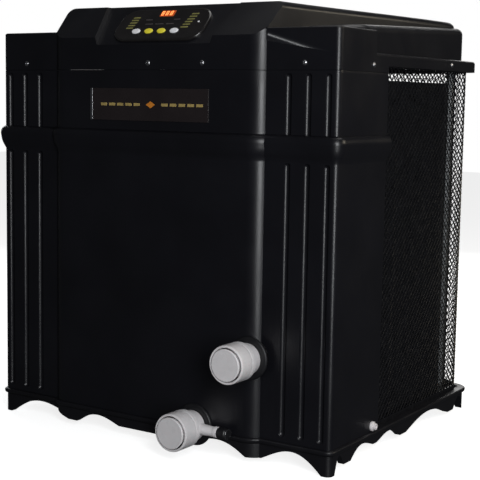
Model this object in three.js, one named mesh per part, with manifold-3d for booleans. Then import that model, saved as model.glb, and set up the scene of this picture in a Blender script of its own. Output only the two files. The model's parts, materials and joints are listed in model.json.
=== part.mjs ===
// Electric heat-pump pool heater: a moulded cabinet around a U-shaped air coil,
// with a top fan, a sealed refrigerant circuit and two water unions at the front.
// Millimetres, +Z up. The front faces -Y, and the cabinet stands on z = 0.
import * as THREE from 'three';
import { mergeVertices } from 'three/addons/utils/BufferGeometryUtils.js';
import Module from 'manifold-3d';

const wasm = await Module();
wasm.setup();

// ---------------------------------------------------------------- driving dimensions
const GAP = 0.3;                  // clearance between touching pieces
const HALF = 530;                 // cabinet half width at the corner columns
const BACK = 834;                 // column face to the back of the cover
const CORNER_R = 14;              // front corner radius
const REAR_R = 42;                // rear corner radius of the cover
const PROUD = 18;                 // how far the centre of the front stands forward
const EDGE_R = 50;                // rounding of the raised centre's long edges
const RAISED_FLAT = 292;          // half width of the raised centre's flat
const RETURN = 250;               // how far the front panels wrap along the sides
const WALL = 12;                  // twin-skin panel thickness
const BELT_PROUD = 15;

const LIP_Z = 65;                 // base pan rim
const BELT_Z = 812;               // top of the belt, where the upper panel starts
const SEAM_Z = 965;               // bottom of the cover
const SKIRT_Z = 1012;             // side ledge of the cover
const LEDGE_Z = 1065;             // corner ledges of the cover
const HUMP_Z = 1133;              // hump height at the front
const HUMP_REAR_Z = 1118;         // hump height at the back
const HUMP_HALF = 332;            // hump half width at the front
const HUMP_FLARE = 156;           // how much wider each side of the hump is at the back
const HUMP_BACK = 798;
const DOME_HALF = 505;            // side walls of the cover behind the front corners
const DOME_BACK = 810;
const DOME_FRONT = 140;
const DOME_Z = 1072;              // shoulder height, carried forward to the front plane
const DOME_REAR_Z = 1106;         // shoulder height at the back
const CORNER_BACK = 184;          // depth of the full-width front corners of the cover
const COVER_WALL = 6;
const SKIRT_FOOT_Z = 981;         // bottom of the shallower skirt over the guards

const GROOVES = [28.7, 82.5, 136.3];   // distance of each flute from the cabinet edge
const GROOVE_R = 9;
const GROOVE_DEPTH = 7;

const GUARD_HALF = 518;           // outer faces of the mesh guards
const GUARD_BACK = 818;
const GUARD_R = 60;
const GUARD_T = 3;

const FAN_Y = 445;                // fan axis
const FAN_OPENING_R = 262;
const FAN_SEAT_R = 292;
const FAN_SEAT_Z = 1078;

const SLOPE_TILT = Math.PI / 4;   // lean of the hump's front face
const SLOPE_FOOT_Z = 1048;        // where the front face starts to lean back
const CONSOLE_TILT = 46 * Math.PI / 180;
const CONSOLE_FOOT = { y: -16, z: 1031 };   // lowest edge of the sunk console floor
const CONSOLE_REACH = 142;        // length of the console floor up its slope

const OUTLET = { x: 308, z: 266 };
const INLET = { x: 147, z: 73 };
const UNION_REACH = 108;          // raised face to the outer end of a union

const RIM_PROUD = 8;               // the pan rim beyond the cabinet faces
const Y_SHIFT = -(BACK + RIM_PROUD - PROUD - UNION_REACH) / 2;   // centres the whole part on Y

// ---------------------------------------------------------------- materials
const plain = (color, roughness, metalness = 0) =>
  new THREE.MeshStandardMaterial({ color, roughness, metalness });
const BLACK = plain(0x15151a, 0.35);
const DARK = plain(0x1c1c20, 0.5);
const MESH = plain(0x141417, 0.55);
const WHITE = plain(0xe6e3e4, 0.35);
const COPPER = plain(0xb5673d, 0.3, 1);
const STEEL = plain(0x8a8d92, 0.35, 1);
const FIN = plain(0xaeb4ba, 0.4, 1);
const GALVANISED = plain(0x9aa0a4, 0.5, 1);
const BOARD = plain(0x1f5a34, 0.5);
const AMBER = plain(0xe8c33a, 0.4);
const LAMP = plain(0xd2481c, 0.3);
const BADGE = plain(0x2a2326, 0.4);
const TITANIUM_SHELL = plain(0x33363b, 0.5);

// ---------------------------------------------------------------- solids and cuts
function toSolid(geometry) {
  const g = geometry.index ? geometry.toNonIndexed() : geometry.clone();
  g.deleteAttribute('normal');
  g.deleteAttribute('uv');
  const merged = mergeVertices(g, 1e-4);
  const mesh = new wasm.Mesh({
    numProp: 3,
    vertProperties: new Float32Array(merged.attributes.position.array),
    triVerts: new Uint32Array(merged.index.array),
  });
  return new wasm.Manifold(mesh);
}

function toGeometry(solid) {
  const mesh = solid.getMesh();
  const g = new THREE.BufferGeometry();
  g.setAttribute('position', new THREE.BufferAttribute(new Float32Array(mesh.vertProperties), 3));
  g.setIndex(new THREE.BufferAttribute(new Uint32Array(mesh.triVerts), 1));
  const flat = g.toNonIndexed();
  flat.computeVertexNormals();
  return flat;
}

function join(...solids) {
  return solids.slice(1).reduce((sum, s) => sum.add(s), solids[0]);
}

function cut(solid, ...tools) {
  return tools.reduce((rest, tool) => rest.subtract(tool), solid);
}

function placed(geometry, x, y, z, turn = [0, 0, 0]) {
  geometry.rotateX(turn[0]);
  geometry.rotateY(turn[1]);
  geometry.rotateZ(turn[2]);
  geometry.translate(x, y, z);
  return toSolid(geometry);
}

const QUARTER = Math.PI / 2;

function block(x0, x1, y0, y1, z0, z1) {
  const g = new THREE.BoxGeometry(x1 - x0, y1 - y0, z1 - z0);
  return placed(g, (x0 + x1) / 2, (y0 + y1) / 2, (z0 + z1) / 2);
}

// a round bar between two levels of one axis
function barZ(r, x, y, z0, z1, sides = 20, rTop = r) {
  return placed(new THREE.CylinderGeometry(rTop, r, z1 - z0, sides), x, y, (z0 + z1) / 2, [QUARTER, 0, 0]);
}

function barY(r, x, z, y0, y1, sides = 24, rBack = r) {
  return placed(new THREE.CylinderGeometry(rBack, r, y1 - y0, sides), x, (y0 + y1) / 2, z);
}

function barX(r, y, z, x0, x1, sides = 16) {
  return placed(new THREE.CylinderGeometry(r, r, x1 - x0, sides), (x0 + x1) / 2, y, z, [0, 0, QUARTER]);
}

// rings of equal length, bottom to top, joined into one closed body
function loft(rings) {
  const n = rings[0].length;
  const positions = [];
  const index = [];
  rings.forEach((ring) => ring.forEach((p) => positions.push(...p)));
  for (let r = 0; r + 1 < rings.length; r += 1) {
    for (let i = 0; i < n; i += 1) {
      const j = (i + 1) % n;
      const a = r * n + i;
      const b = r * n + j;
      index.push(a, b, b + n, a, b + n, a + n);
    }
  }
  const last = (rings.length - 1) * n;
  const flat = (ring) => ring.map((p) => new THREE.Vector2(p[0], p[1]));
  THREE.ShapeUtils.triangulateShape(flat(rings[0]), []).forEach(([a, b, c]) => index.push(c, b, a));
  THREE.ShapeUtils.triangulateShape(flat(rings.at(-1)), []).forEach(([a, b, c]) => {
    index.push(last + a, last + b, last + c);
  });
  const g = new THREE.BufferGeometry();
  g.setAttribute('position', new THREE.Float32BufferAttribute(positions, 3));
  g.setIndex(index);
  return toSolid(g);
}

// a pipe along straight runs with rounded bends
function pipe(radius, points, bend, sides = 10) {
  const path = new THREE.CurvePath();
  const v = points.map((p) => new THREE.Vector3(...p));
  let from = v[0];
  for (let i = 1; i + 1 < v.length; i += 1) {
    const inward = v[i].clone().sub(v[i - 1]).normalize();
    const outward = v[i + 1].clone().sub(v[i]).normalize();
    const enter = v[i].clone().addScaledVector(inward, -bend);
    const leave = v[i].clone().addScaledVector(outward, bend);
    path.add(new THREE.LineCurve3(from, enter));
    path.add(new THREE.QuadraticBezierCurve3(enter, v[i], leave));
    from = leave;
  }
  path.add(new THREE.LineCurve3(from, v.at(-1)));
  const section = new THREE.Shape();
  section.absarc(0, 0, radius, 0, 2 * Math.PI);
  const steps = points.length > 2 ? 5 * (points.length - 1) : 1;
  const g = new THREE.ExtrudeGeometry(section, {
    steps, curveSegments: sides, extrudePath: path, bevelEnabled: false,
  });
  return toSolid(g);
}

const arc = (cx, cy, r, from, to, steps) => Array.from({ length: steps + 1 }, (_, i) => {
  const a = from + (to - from) * i / steps;
  return [cx + r * Math.cos(a), cy + r * Math.sin(a)];
});

const mirrored = (points) => points.map(([x, y]) => [-x, y]).reverse();
const at = (points, z) => points.map(([x, y]) => [x, y, z]);

// ---------------------------------------------------------------- cabinet outline
// The right half of the front, from the middle to the start of the side: a raised
// centre with rounded long edges, a flat corner column and a small corner radius.
function frontHalf(grow) {
  const rise = EDGE_R - PROUD;
  const r = EDGE_R + grow;
  const sweep = Math.acos((rise + grow) / r);
  const edge = arc(RAISED_FLAT, rise, r, -QUARTER, -QUARTER + sweep, 6);
  const cornerR = Math.max(CORNER_R + grow, 1.5);
  const corner = arc(HALF + grow - cornerR, cornerR - grow, cornerR, -QUARTER, 0, 5);
  return [...edge, ...corner];
}

// anticlockwise from the left side's back end to the right side's back end
function frontPath(grow, back) {
  const half = frontHalf(grow);
  return [[-HALF - grow, back], ...mirrored(half), ...half, [HALF + grow, back]];
}

function footprint(grow) {
  const half = frontHalf(grow);
  const rear = arc(HALF - REAR_R, BACK - REAR_R, REAR_R + grow, 0, QUARTER, 6);
  return [...mirrored(half), ...half, ...rear, ...mirrored(rear)];
}

function wrapRing(grow, z, thickness = WALL) {
  const outer = frontPath(grow, RETURN);
  const inner = frontPath(-thickness, RETURN).reverse();
  return at([...outer, ...inner], z);
}

function flutes(z0, z1) {
  const tools = [];
  for (const side of [-1, 1]) {
    for (const inset of GROOVES) {
      const g = new THREE.CapsuleGeometry(GROOVE_R, z1 - z0 - 2 * GROOVE_R, 2, 10);
      tools.push(placed(g, side * (HALF - inset), GROOVE_DEPTH - GROOVE_R, (z0 + z1) / 2, [QUARTER, 0, 0]));
    }
  }
  return tools;
}

// ---------------------------------------------------------------- cabinet panels
const PORT_R = 32;                // hole for a union's inner tube
const PANEL_PORT_R = 44;          // clearance hole in the panel, covered by the ring around the port
const ESCUTCHEON_R = 54;

function portCut(port, r = PORT_R) {
  return barY(r, port.x, port.z, -2 * PROUD, 3 * PROUD, 24);
}

// a flat seat for the ring around a port where the pan rim stands forward
function seatCut(port) {
  return barY(ESCUTCHEON_R + 1, port.x, port.z, -3 * PROUD, -PROUD, 24);
}

function lowerFrontPanel() {
  const beltFoot = BELT_Z - 62;
  const shell = loft([
    wrapRing(0, LIP_Z + GAP),
    wrapRing(0, beltFoot),
    wrapRing(BELT_PROUD - 4, BELT_Z - 42),
    wrapRing(BELT_PROUD, BELT_Z - 16),
    wrapRing(BELT_PROUD - 5, BELT_Z - 5),
    wrapRing(1.5, BELT_Z),
  ]);
  const tools = [...flutes(LIP_Z + 13, beltFoot - 4), portCut(OUTLET, PANEL_PORT_R), portCut(INLET, PANEL_PORT_R)];
  return cut(shell, ...tools);
}

function upperFrontPanel() {
  const shell = loft([wrapRing(0, BELT_Z + GAP), wrapRing(0, SEAM_Z - GAP)]);
  return cut(shell, ...flutes(BELT_Z + GAP - 12, SEAM_Z - 8));
}

// ---------------------------------------------------------------- base pan
const PAN_SHELF_Z = 44;           // underside of the shelf that carries the coil and posts
const PAN_SHELF_T = 6;
const SUMP_Z = 42;                // top of the lower middle of the pan
const PAN_WALL = 16;
const SCALLOP_Z = 45;             // tops of the scallops in the pan's skirt
// the skirt's feet and lobes, [from, to, height of its lowest edge]
const FRONT_FEET = [[-530, -506, 0], [-276, -246, 17], [-100, 128, 26], [300, 336, 14], [506, 530, 0]];
const SIDE_FEET = [[0, 24, 0], [70, 106, 17], [226, 246, 30], [384, 420, 17], [698, 736, 12], [810, 834, 0]];

// arched openings between the feet of the two walls that run across one axis
function scallops(feet, alongX) {
  const steps = 12;
  return feet.slice(1).map(([to, , lowTo], i) => {
    const [, from, lowFrom] = feet[i];
    const arch = Array.from({ length: steps + 1 }, (_, k) => {
      const t = k / steps;
      const foot = lowFrom + (lowTo - lowFrom) * t;
      return [from + (to - from) * t, foot + (SCALLOP_Z - foot) * Math.sin(Math.PI * t)];
    });
    const outline = [...arch, [to, -10], [from, -10]].map(([p, h]) => new THREE.Vector2(p, h));
    const g = new THREE.ExtrudeGeometry(new THREE.Shape(outline), { depth: 4 * HALF, bevelEnabled: false });
    g.translate(0, 0, -2 * HALF);
    g.rotateX(QUARTER);
    if (!alongX) g.rotateZ(QUARTER);
    return placed(g, 0, 0, 0);
  });
}

// what is taken off the bottom of each lobe between the corner feet
function lobeTrims() {
  const lobes = (feet) => feet.filter(([, , low]) => low > 0);
  return [
    ...lobes(FRONT_FEET).map(([a, b, low]) => block(a - 1, b + 1, -2 * PROUD, BACK + PROUD, -1, low)),
    ...lobes(SIDE_FEET).map(([a, b, low]) => block(-HALF - PROUD, HALF + PROUD, a - 1, b + 1, -1, low)),
  ];
}

// the middle of the pan is a shallow tray, lower than the shelf around it
function sump(drop) {
  const ring = (inset, r, z) => at(roundedBox(HALF - 92 - inset, 34 + inset, BACK - 92 - inset, r), z);
  const low = SUMP_Z - drop;
  return loft([ring(18 - drop, 30, low), ring(-drop, 40, PAN_SHELF_Z + PAN_SHELF_T + (drop ? -1 : 1))]);
}

function wallStrip(grow, z0, z1) {
  const outer = footprint(grow);
  const inner = footprint(-PAN_WALL);
  return cut(loft([at(outer, z0), at(outer, z1)]), loft([at(inner, z0 - 1), at(inner, z1 + 1)]));
}

function basePan() {
  const rim = loft([
    at(footprint(0), LIP_Z - 15),
    at(footprint(RIM_PROUD - 1), LIP_Z - 11),
    at(footprint(RIM_PROUD), LIP_Z - 3),
    at(footprint(5), LIP_Z),
  ]);
  const inner = footprint(-PAN_WALL);
  const rimBand = cut(rim, loft([at(inner, 0), at(inner, LIP_Z + 1)]));
  const shelf = footprint(1 - PAN_WALL);
  const plate = loft([at(shelf, PAN_SHELF_Z), at(shelf, PAN_SHELF_Z + PAN_SHELF_T)]);
  const skirt = cut(
    wallStrip(0, 0, LIP_Z - 12),
    ...scallops(FRONT_FEET, true),
    ...scallops(SIDE_FEET, false),
    ...lobeTrims(),
  );
  return cut(join(skirt, rimBand, plate, sump(6)), sump(0), portCut(INLET), seatCut(INLET));
}

// ---------------------------------------------------------------- top cover
function roundedBox(half, y0, y1, r) {
  const front = arc(half - r, y0 + r, r, -QUARTER, 0, 6);
  const rear = arc(half - r, y1 - r, r, 0, QUARTER, 6);
  return [...mirrored(front), ...front, ...rear, ...mirrored(rear)];
}

// everything above a plane that leans back from a line along X
function above(foot, tilt, drop, half) {
  const size = 600;
  const g = new THREE.BoxGeometry(2 * half, size, size);
  g.translate(0, size / 2 - 100, size / 2 - drop);
  return placed(g, 0, foot.y, foot.z, [tilt, 0, 0]);
}

const SLOPE_FOOT = { y: -PROUD, z: SLOPE_FOOT_Z };

// hump outline: narrow behind the console, wider towards the back, with round rear corners
function humpRing(inset, level) {
  const steps = 8;
  const rearR = 70 - inset;
  const back = HUMP_BACK - inset;
  const front = LEDGE_Z - SLOPE_FOOT_Z - PROUD + inset;   // the leaning front face trims it from here up
  const side = Array.from({ length: steps + 1 }, (_, i) => {
    const t = i / steps;
    const flare = HUMP_FLARE * (t * t * (3 - 2 * t) * 0.4 + t * 0.6);
    return [HUMP_HALF + flare - inset, front + (back - rearR - front) * t];
  });
  const half = side.at(-1)[0];
  const corner = arc(half - rearR, back - rearR, rearR, 0, QUARTER, 5).slice(1);
  const right = [...side, ...corner];
  return [...right, ...mirrored(right)].map(([x, y]) => {
    const t = Math.max(0, y) / HUMP_BACK;
    return [x, y, level(HUMP_Z + (HUMP_REAR_Z - HUMP_Z) * t, t)];
  });
}

function coverBody(shrink) {
  const ledge = LEDGE_Z - shrink;
  const skirt = loft([
    at(footprint(-shrink), shrink ? SEAM_Z - 1 : SEAM_Z),
    at(footprint(-shrink), SKIRT_Z - shrink - 7),
    at(footprint(-shrink - 7), SKIRT_Z - shrink),
  ]);
  const frontBlock = loft([
    at(frontPath(-shrink, CORNER_BACK - shrink), SKIRT_Z - 30),
    at(frontPath(-shrink, CORNER_BACK - shrink), ledge - 5),
    at(frontPath(-shrink - 4, CORNER_BACK - shrink - 4), ledge),
  ]);
  const domeOutline = (inset) => roundedBox(
    DOME_HALF - inset, DOME_FRONT + inset, DOME_BACK - inset, 60 - inset,
  );
  const domeRing = (inset, drop) => domeOutline(shrink + inset).map(
    ([x, y]) => [x, y, DOME_Z + (DOME_REAR_Z - DOME_Z) * y / DOME_BACK - shrink - drop],
  );
  const dome = loft([
    at(domeOutline(shrink), SKIRT_Z - 30),
    domeRing(1, 14),
    domeRing(5, 4),
    domeRing(14, 0),
  ]);
  const hump = loft([
    humpRing(shrink, () => LEDGE_Z - 30),
    humpRing(shrink + 7, (top) => top - shrink - 13),
    humpRing(shrink + 12, (top) => top - shrink - 4),
    humpRing(shrink + 20, (top) => top - shrink),
  ]);
  return join(skirt, frontBlock, dome, hump);
}

// the sunk console floor, wider towards its top
function consoleCut() {
  const ring = (z, spread) => [[-178 - spread, -4, z], [178 + spread, -4, z],
    [212 + spread, CONSOLE_REACH, z], [-212 - spread, CONSOLE_REACH, z]];
  const g = loft([ring(0, 0), ring(90, 26)]);
  return g.rotate([CONSOLE_TILT * 180 / Math.PI, 0, 0]).translate([0, CONSOLE_FOOT.y, CONSOLE_FOOT.z]);
}

function topCover() {
  const slope = above(SLOPE_FOOT, SLOPE_TILT, 0, HALF);
  const outer = cut(coverBody(0), slope);
  const cavity = cut(
    coverBody(COVER_WALL),
    above(SLOPE_FOOT, SLOPE_TILT, COVER_WALL, HALF),
    above(CONSOLE_FOOT, CONSOLE_TILT, COVER_WALL + 2, 250),
  );
  const fan = (r, z0, z1) => barZ(r, 0, FAN_Y, z0, z1, 40);
  const well = fan(FAN_SEAT_R + 6, FAN_SEAT_Z - 6, HUMP_Z + 10).intersect(outer);
  const throat = fan(FAN_OPENING_R + 6, THROAT_Z, FAN_SEAT_Z - 3);
  const flange = fan(FAN_OPENING_R + 24, THROAT_Z, THROAT_Z + 5);
  return cut(
    join(cut(outer, cavity), well, throat, flange),
    fan(FAN_SEAT_R, FAN_SEAT_Z, HUMP_Z + 50),
    fan(FAN_OPENING_R, THROAT_Z - 20, HUMP_Z + 50),
    block(-HALF - 10, HALF + 10, RETURN, BACK + 10, SEAM_Z - 10, SKIRT_FOOT_Z),
    consoleCut(),
  );
}

// ---------------------------------------------------------------- mesh guards and posts
const GUARD_Z0 = LIP_Z + GAP;
const GUARD_Z1 = SKIRT_FOOT_Z + 10;

// one sheet along the side and round the rear corner; its fine mesh is left closed here
function sideGuard(side) {
  const y0 = RETURN + 2;
  const y1 = GUARD_BACK - GUARD_R;
  const bend = (r, from, to) => arc(GUARD_HALF - GUARD_R, y1, r, from, to, 8);
  const outer = [[GUARD_HALF, y0], ...bend(GUARD_R, 0, QUARTER)];
  const inner = [...bend(GUARD_R - GUARD_T, QUARTER, 0), [GUARD_HALF - GUARD_T, y0]];
  const outline = side > 0 ? [...outer, ...inner] : mirrored([...outer, ...inner]);
  return loft([at(outline, GUARD_Z0), at(outline, GUARD_Z1)]);
}

function rearGuard() {
  const half = GUARD_HALF - GUARD_R - GAP;
  return block(-half, half, GUARD_BACK - GUARD_T, GUARD_BACK, GUARD_Z0, GUARD_Z1);
}

const POST_Z0 = PAN_SHELF_Z + PAN_SHELF_T + GAP;
const POST_Z1 = SKIRT_Z - COVER_WALL - GAP;

function frontPost(side) {
  const x = (a, b) => (side > 0 ? [a, b] : [-b, -a]);
  const leg = block(...x(486, 512), 214, 217, POST_Z0, POST_Z1);
  const web = block(...x(509, 512), 214, 240, POST_Z0, POST_Z1);
  return join(leg, web);
}

function rearPost(side) {
  const outer = barZ(11, side * 470, 770, POST_Z0, POST_Z1, 12);
  return cut(outer, barZ(8.5, side * 470, 770, POST_Z0 - 1, POST_Z1 + 1, 12));
}

// ---------------------------------------------------------------- air side
const THROAT_Z = 985;
const COIL = { half: 485, back: 786, front: 262, depth: 40, r: 95, top: 948 };

function evaporatorCoil() {
  const ring = (inset) => {
    const half = COIL.half - inset;
    const bend = arc(COIL.half - COIL.r, COIL.back - COIL.r, COIL.r - inset, 0, QUARTER, 8);
    const right = [[half, COIL.front], ...bend];
    return [...right, ...mirrored(right)];
  };
  const outline = [...ring(0), ...ring(COIL.depth).reverse()];
  return loft([at(outline, POST_Z0), at(outline, COIL.top)]);
}

function fanGuard() {
  const wire = 3.5;
  const z = FAN_SEAT_Z + GAP + wire;
  const rings = [FAN_SEAT_R - 8, 212, 140, 72].map((r) => placed(
    new THREE.TorusGeometry(r, wire, 4, 24), 0, FAN_Y, z,
  ));
  const spokes = Array.from({ length: 6 }, (_, i) => {
    const g = new THREE.BoxGeometry(2 * (FAN_SEAT_R - 8), 7, 3);
    return placed(g, 0, FAN_Y, z + wire, [0, 0, i * Math.PI / 6]);
  });
  const boss = barZ(44, 0, FAN_Y, z, z + 7, 16);
  return join(...rings, ...spokes, boss);
}

const MOTOR = { r: 70, z0: 900, z1: 1000 };
const HUB = { r: 42, z0: 1016, z1: 1058, bore: 8.4 };
const SHAFT_R = 8;

// two crossed straps under the motor, bent up at their ends to the throat flange
function motorBracket() {
  const reach = FAN_OPENING_R + 20;
  const half = 18;
  const t = 5;
  const z0 = MOTOR.z0 - GAP - t;
  const z1 = THROAT_Z - GAP;
  const outline = [[-reach, z0], [reach, z0], [reach, z1], [reach - t, z1], [reach - t, z0 + t],
    [t - reach, z0 + t], [t - reach, z1], [-reach, z1]];
  const shape = new THREE.Shape(outline.map(([x, z]) => new THREE.Vector2(x, z)));
  const strap = (turn) => {
    const g = new THREE.ExtrudeGeometry(shape, { depth: 2 * half, bevelEnabled: false });
    g.translate(0, 0, -half);
    return placed(g, 0, FAN_Y, 0, [QUARTER, 0, turn]);
  };
  return join(strap(0), strap(QUARTER));
}

function fanMotor() {
  const can = barZ(MOTOR.r, 0, FAN_Y, MOTOR.z0, MOTOR.z1 - 14, 28);
  const shield = barZ(MOTOR.r, 0, FAN_Y, MOTOR.z1 - 14, MOTOR.z1 - 4, 28, MOTOR.r - 16);
  const nose = barZ(24, 0, FAN_Y, MOTOR.z1 - 5, MOTOR.z1, 20);
  return join(can, shield, nose);
}

function fanShaft() {
  return barZ(SHAFT_R, 0, FAN_Y, MOTOR.z1 + GAP, HUB.z1 + 6, 16);
}

function fanBlades() {
  const hub = barZ(HUB.r, 0, FAN_Y, HUB.z0, HUB.z1, 24);
  const blades = Array.from({ length: 4 }, (_, i) => {
    const outline = new THREE.Shape();
    outline.moveTo(30, -38);
    outline.quadraticCurveTo(150, -92, 248, -58);
    outline.quadraticCurveTo(258, 10, 226, 92);
    outline.quadraticCurveTo(130, 44, 30, 36);
    const g = new THREE.ExtrudeGeometry(outline, { depth: 4, curveSegments: 6, bevelEnabled: false });
    g.translate(0, 0, -2);
    g.rotateX(-0.36);
    g.rotateZ(i * QUARTER);
    return placed(g, 0, FAN_Y, (HUB.z0 + HUB.z1) / 2 + 2);
  });
  return cut(join(hub, ...blades), barZ(HUB.bore, 0, FAN_Y, HUB.z0 - 5, HUB.z1 + 5, 16));
}

// ---------------------------------------------------------------- water side
const UNION = {
  ring: 8,            // escutcheon thickness
  tubeR: 31,
  boreR: 25,
  inner: 42,          // inner end of the tube, behind the column face
  shoulder: 9,        // where the white body starts in front of the raised face
  thread: 38,         // start of the threaded end
  seat: 50,           // sealing face between body and tailpiece
  nut: 42,            // back of the nut
  nutR: 48,
  nutEnd: 104,
  lip: 60,            // where the nut narrows, in front of the tailpiece flange
  lipR: 41,
  plugEnd: 70,        // inner end of the bung
  bungR: 29.7,
  plugR: 39.6,
};

const outward = (u) => -PROUD - u;

function escutcheon(port) {
  const plate = barY(ESCUTCHEON_R - 3, port.x, port.z, outward(UNION.ring), outward(GAP), 24, ESCUTCHEON_R);
  return cut(plate, barY(UNION.tubeR + GAP, port.x, port.z, -60, 60, 24));
}

function unionBody(port, branch) {
  const tube = barY(UNION.tubeR, port.x, port.z, outward(UNION.shoulder), UNION.inner, 24);
  const cone = barY(41, port.x, port.z, outward(UNION.thread), outward(UNION.shoulder), 24, 39);
  const thread = barY(43, port.x, port.z, outward(UNION.seat), outward(UNION.thread), 24);
  const parts = branch ? [tube, cone, thread, branch] : [tube, cone, thread];
  return cut(join(...parts), barY(UNION.boreR, port.x, port.z, -90, 60, 24));
}

const DRAIN = { y: -PROUD - 25, z: 72, r: 14, x0: INLET.x + 34, x1: INLET.x + 90, capR: 14.5, capLength: 30 };

function unionNut(port) {
  const shell = join(
    barY(UNION.nutR, port.x, port.z, outward(UNION.nutEnd - 3), outward(UNION.nut), 24),
    barY(UNION.nutR - 2, port.x, port.z, outward(UNION.nutEnd), outward(UNION.nutEnd - 3), 24, UNION.nutR),
  );
  return cut(
    shell,
    barY(43.6, port.x, port.z, outward(UNION.lip), outward(UNION.nut - 1), 24),
    barY(UNION.lipR, port.x, port.z, outward(UNION.nutEnd + 1), outward(UNION.lip - 1), 24),
  );
}

function tailpiece(port) {
  const flange = barY(43, port.x, port.z, outward(UNION.seat + 8), outward(UNION.seat + GAP), 24);
  const sleeve = barY(36, port.x, port.z, outward(UNION.nutEnd), outward(UNION.seat + 1), 24);
  return cut(join(flange, sleeve), barY(30, port.x, port.z, -200, 0, 24));
}

function dustPlug(port) {
  const r = UNION.plugR;
  const disc = barY(r, port.x, port.z, outward(UNION_REACH - 1.5), outward(UNION.nutEnd + GAP), 24);
  const face = barY(r - 1.5, port.x, port.z, outward(UNION_REACH), outward(UNION_REACH - 1.5), 24, r);
  return join(disc, face);
}

function plugBung(port) {
  return barY(UNION.bungR, port.x, port.z, outward(UNION.nutEnd), outward(UNION.plugEnd), 24);
}

const TRAY_Z = SUMP_Z + GAP;
const CANISTER = { x: 235, y: 300, r: 95, z0: TRAY_Z, z1: 600 };

function heatExchanger() {
  const shell = barZ(CANISTER.r, CANISTER.x, CANISTER.y, CANISTER.z0, CANISTER.z1 - 20, 20);
  const cap = barZ(CANISTER.r, CANISTER.x, CANISTER.y, CANISTER.z1 - 20, CANISTER.z1, 20, CANISTER.r - 26);
  const collar = barZ(CANISTER.r + 10, CANISTER.x, CANISTER.y, CANISTER.z1 - 56, CANISTER.z1 - 30, 20);
  return join(shell, cap, collar);
}

function waterPipe(port) {
  const bend = 50;
  const start = UNION.inner + GAP;
  const straight = pipe(22, [
    [port.x, start, port.z],
    [port.x, 150, port.z],
    [CANISTER.x, CANISTER.y, port.z],
  ], bend, 10);
  return cut(straight, barZ(CANISTER.r + GAP, CANISTER.x, CANISTER.y, 0, 700, 20));
}

// ---------------------------------------------------------------- refrigerant side
const COMPRESSOR = { x: -215, y: 330, r: 84, z0: TRAY_Z, z1: 400 };
const ACCUMULATOR = { x: -30, y: 470, r: 46, z1: 330 };
const VALVE = { x: -120, y: 455, z: 545, r: 17, half: 62 };

function compressor() {
  const { x, y, r, z0, z1 } = COMPRESSOR;
  return join(
    barZ(r + 22, x, y, z0, z0 + 5, 6),
    barZ(r - 22, x, y, z0 + 3, z0 + 26, 20, r),
    barZ(r, x, y, z0 + 26, z1 - 40, 20),
    barZ(r, x, y, z1 - 40, z1, 20, r - 30),
    block(x + r - 20, x + r + 14, y - 34, y + 34, 230, 300),
  );
}

function accumulator() {
  const { x, y, r, z1 } = ACCUMULATOR;
  return join(
    barZ(r, x, y, TRAY_Z, TRAY_Z + 6, 16),
    barZ(r - 14, x, y, TRAY_Z + 5, TRAY_Z + 30, 16, r),
    barZ(r, x, y, TRAY_Z + 30, z1 - 26, 16),
    barZ(r, x, y, z1 - 26, z1, 16, r - 18),
  );
}

function reversingValve() {
  const { x, y, z, r, half } = VALVE;
  const body = barX(r, y, z, x - half, x + half, 18);
  const pilot = barX(6, y + 26, z + 12, x - half + 10, x + half - 10, 10);
  const coil = block(x - 18, x + 18, y + 10, y + 44, z + 4, z + 40);
  return join(body, pilot, coil);
}

function dischargeLine() {
  const line = pipe(8, [
    [COMPRESSOR.x, COMPRESSOR.y, COMPRESSOR.z1 - 4],
    [COMPRESSOR.x, COMPRESSOR.y, 640],
    [VALVE.x, COMPRESSOR.y, 640],
    [VALVE.x, VALVE.y, 640],
    [VALVE.x, VALVE.y, VALVE.z],
  ], 34, 6);
  return cut(
    line,
    barX(VALVE.r + GAP, VALVE.y, VALVE.z, VALVE.x - 200, VALVE.x + 200, 18),
    barZ(COMPRESSOR.r - 10, COMPRESSOR.x, COMPRESSOR.y, 300, COMPRESSOR.z1 + GAP, 20),
    block(VALVE.x - 19, VALVE.x + 19, VALVE.y + 9, VALVE.y + 46, VALVE.z, VALVE.z + 41),
  );
}

function suctionLine() {
  const line = pipe(10, [
    [VALVE.x + 34, VALVE.y, VALVE.z],
    [VALVE.x + 34, VALVE.y, 440],
    [ACCUMULATOR.x, ACCUMULATOR.y, 440],
    [ACCUMULATOR.x, ACCUMULATOR.y, ACCUMULATOR.z1 - 6],
  ], 20, 6);
  return cut(
    line,
    barX(VALVE.r + GAP, VALVE.y, VALVE.z, VALVE.x - 200, VALVE.x + 200, 18),
    barZ(60, ACCUMULATOR.x, ACCUMULATOR.y, 200, ACCUMULATOR.z1 + GAP, 16),
  );
}

const DRIER = { y: 560, z: 170, r: 27, x0: -10, x1: 118 };
const EXPANSION = { x: -150, y: 560, z: 170 };

function filterDrier() {
  return join(
    barX(DRIER.r, DRIER.y, DRIER.z, DRIER.x0, DRIER.x1, 20),
    barX(10, DRIER.y, DRIER.z, DRIER.x0 - 14, DRIER.x1 + 14, 12),
  );
}

// the valve with the short pipe that feeds the coil
function expansionValve() {
  const { x, y, z } = EXPANSION;
  return join(
    barY(6, x, z, y + 10, COIL.back - COIL.depth - GAP, 10),
    block(x - 16, x + 16, y - 16, y + 16, z - 22, z + 26),
    barZ(25, x, y, z + 25, z + 40, 18),
  );
}

function liquidLine() {
  return pipe(6, [
    [DRIER.x0 - 14 - GAP, DRIER.y, DRIER.z],
    [EXPANSION.x + 16 + GAP, DRIER.y, DRIER.z],
  ], 0, 6);
}

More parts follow.
